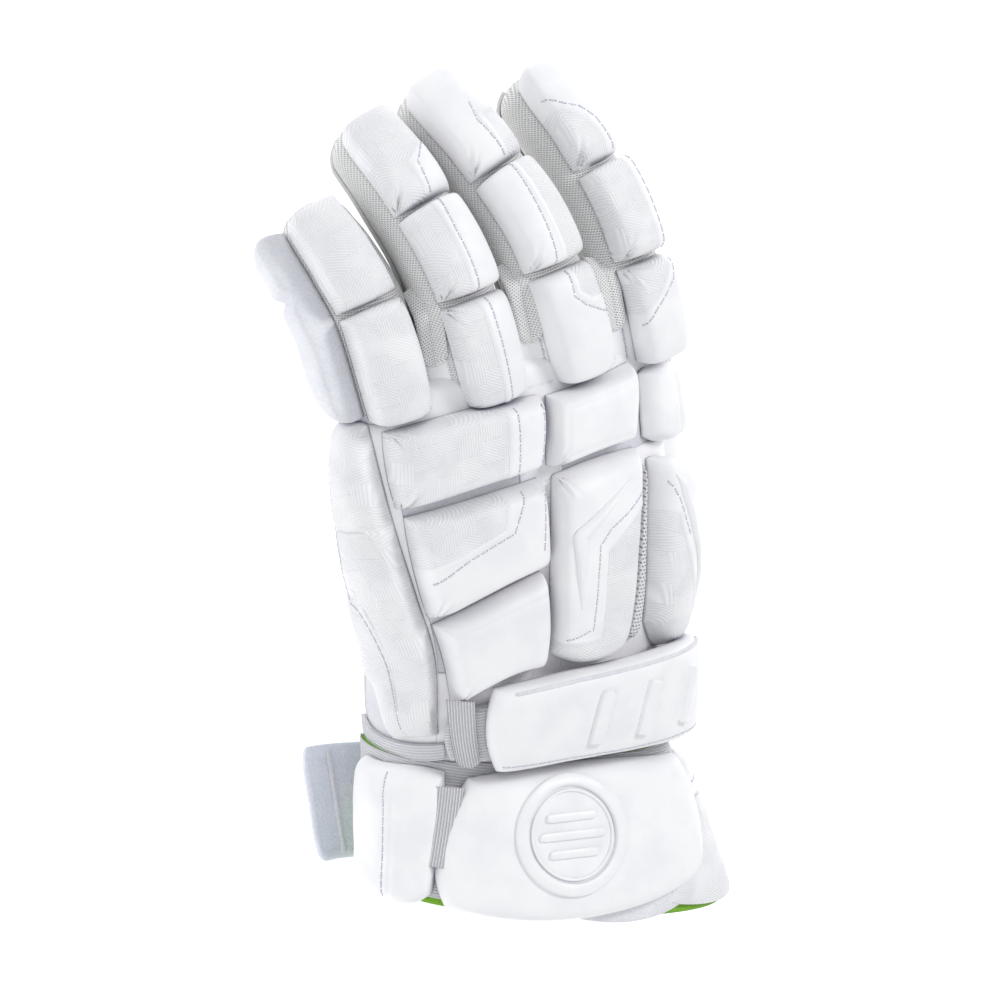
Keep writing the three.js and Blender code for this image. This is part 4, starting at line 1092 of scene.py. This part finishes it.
around = np.linspace(0, 2 * np.pi, 120, endpoint=False)
for name, radius, half, height in badge["rings"]:
    node = name if name == "cuff_badge" else None
    line, normals = onBadge(radius * np.cos(around), radius * np.sin(around))
    addBand(name, line, normals, half, height, "rubber", "rubber", node, power=0.4, closed=True)
for k, (offset, length) in enumerate(badge["bars"]):
    s = np.linspace(-length / 2, length / 2, 40)
    line, normals = onBadge(s, offset + 0 * s)
    half = badge["barHalf"] * (1 - (2 * s / length) ** 12) ** 0.5
    addBand(f"badge_bar_{k + 1}", line, normals, half, badge["barRise"], "rubber", "rubber", power=0.4)

# Closure strap of brushed loop cloth under the cuff, its end past the little-finger side, with a hem
closure = {
    "width": 48.0, "length": 200.0, "corner": 9.0, "wall": 1.4, "setback": 77.0, "hem": 4.5, "hookAt": 0.148,
}
closureRows = [
    {"side": -0.56, "rise": 0.15}, {"side": -0.46, "rise": 0.06}, {"side": -0.3, "rise": 0.0},
    {"side": 0.0, "rise": 0.0}, {"side": 0.27, "rise": 0.0}, {"side": 0.355, "rise": 0.09},
    {"side": 0.375, "rise": 0.24},
]


def closurePoint(t, v, above):  # t along the strap and v across it, with its end's corners rounded
    def spot(q):
        q = np.clip(q, 0, 1)
        x = tableCurve(closureRows, "side", q) * cuffSize["width"]
        z = tableCurve(closureRows, "rise", q) * cuffSize["height"]
        return np.stack([x, 0 * x, np.maximum(z, 0)], -1)

    way = unit(spot(t + 0.02) - spot(t - 0.02))
    p = spot(t)
    fromEnd = np.clip(1 - t * closure["length"] / closure["corner"], 0, 1)
    half = closure["width"] / 2 - closure["corner"] * (1 - np.sqrt(1 - fromEnd**2))
    p[..., 1] = half * v - closure["setback"] - cuffRows[0]["slant"] * p[..., 0]
    return p + np.stack([-way[..., 2], 0 * way[..., 0], way[..., 0]], -1) * above[..., None]


u, v = np.meshgrid(np.linspace(0, 1, 110), np.linspace(-1, 1, 44), indexing="ij")
edge = np.minimum(u * closure["length"], (1 - np.abs(v)) * closure["width"] / 2)
hem = 0.5 * np.clip((closure["hem"] - edge) / 0.6, 0, 1) * np.clip(edge / 0.5, 0.2, 1)
soft = 0.25 * ripples(closurePoint(u, v, 0 * u), 14, 5)
top = closurePoint(u, v, closure["wall"] + hem + np.maximum(soft, -0.2))
addSolidSheet("closure_strap", top, closurePoint(u, v, 0 * u), "loop", "loop", "closure_strap")
hookAlong = np.linspace(-0.92, 0.92, 80)
flat = 0 * hookAlong
hookLine = closurePoint(closure["hookAt"] + flat, hookAlong, closure["wall"] + 0.4 + flat)
hookUp = unit(hookLine - closurePoint(closure["hookAt"] + flat, hookAlong, flat))
addBand("closure_hook_edge", hookLine, hookUp, 1.2, 1.0, "binding", "loop", power=0.8)
print("wrist and cuff made")


# Threads and needle holes, each one mesh
def addParts(name, parts, material, slot):
    made = makeObject(name, np.concatenate(parts["points"]), np.concatenate(parts["faces"]), material)
    finishPiece(made, slot)


addParts("stitches", stitchParts, "thread", "leather")
addParts("needle_holes", holeParts, "hole", "leather")


# White studio: a soft key from the upper right, a weak fill from the left and a near-white world
lights = {
    "key": {"place": (0.75, 0.75, 1.1), "size": 0.4, "power": 7.5},
    "fill": {"place": (-0.9, -0.5, 0.9), "size": 0.9, "power": 3.5},
}


def addLight(name, place, target, size, power):
    lamp = bpy.data.lights.new(name, "AREA")
    lamp.shape, lamp.size, lamp.energy = "DISK", size, power
    made = bpy.data.objects.new(name, lamp)
    made.location = place
    made.rotation_euler = (Vector(target) - Vector(place)).to_track_quat("-Z", "Y").to_euler()
    bpy.context.scene.collection.objects.link(made)


for name, light in lights.items():
    addLight(name, light["place"], (0, 0.05, 0.03), light["size"], light["power"])
world = bpy.data.worlds.new("white")
bpy.context.scene.world = world
world.use_nodes = True
world.node_tree.nodes["Background"].inputs["Color"].default_value = (0.97, 0.98, 1.0, 1)
world.node_tree.nodes["Background"].inputs["Strength"].default_value = 0.64
bpy.context.scene.view_settings.view_transform = "Standard"
print("lights and world made")

floorSize = 3.0  # half a side, in metres
floorMesh = bpy.data.meshes.new("floor")
corners = [(x * floorSize, y * floorSize, 0) for x, y in ((-1, -1), (1, -1), (1, 1), (-1, 1))]
floorMesh.from_pydata(corners, [], [(0, 1, 2, 3)])
floorPiece = bpy.data.objects.new("floor", floorMesh)
bpy.context.scene.collection.objects.link(floorPiece)
paper, _, paperShader = newMaterial("paper sweep, matt coated", 0.9)
paperShader.inputs["Base Color"].default_value = fromHex("#ffffff")
paperShader.inputs["Emission Color"].default_value = (1, 1, 1, 1)
paperShader.inputs["Emission Strength"].default_value = 0.5
floorMesh.materials.append(paper)
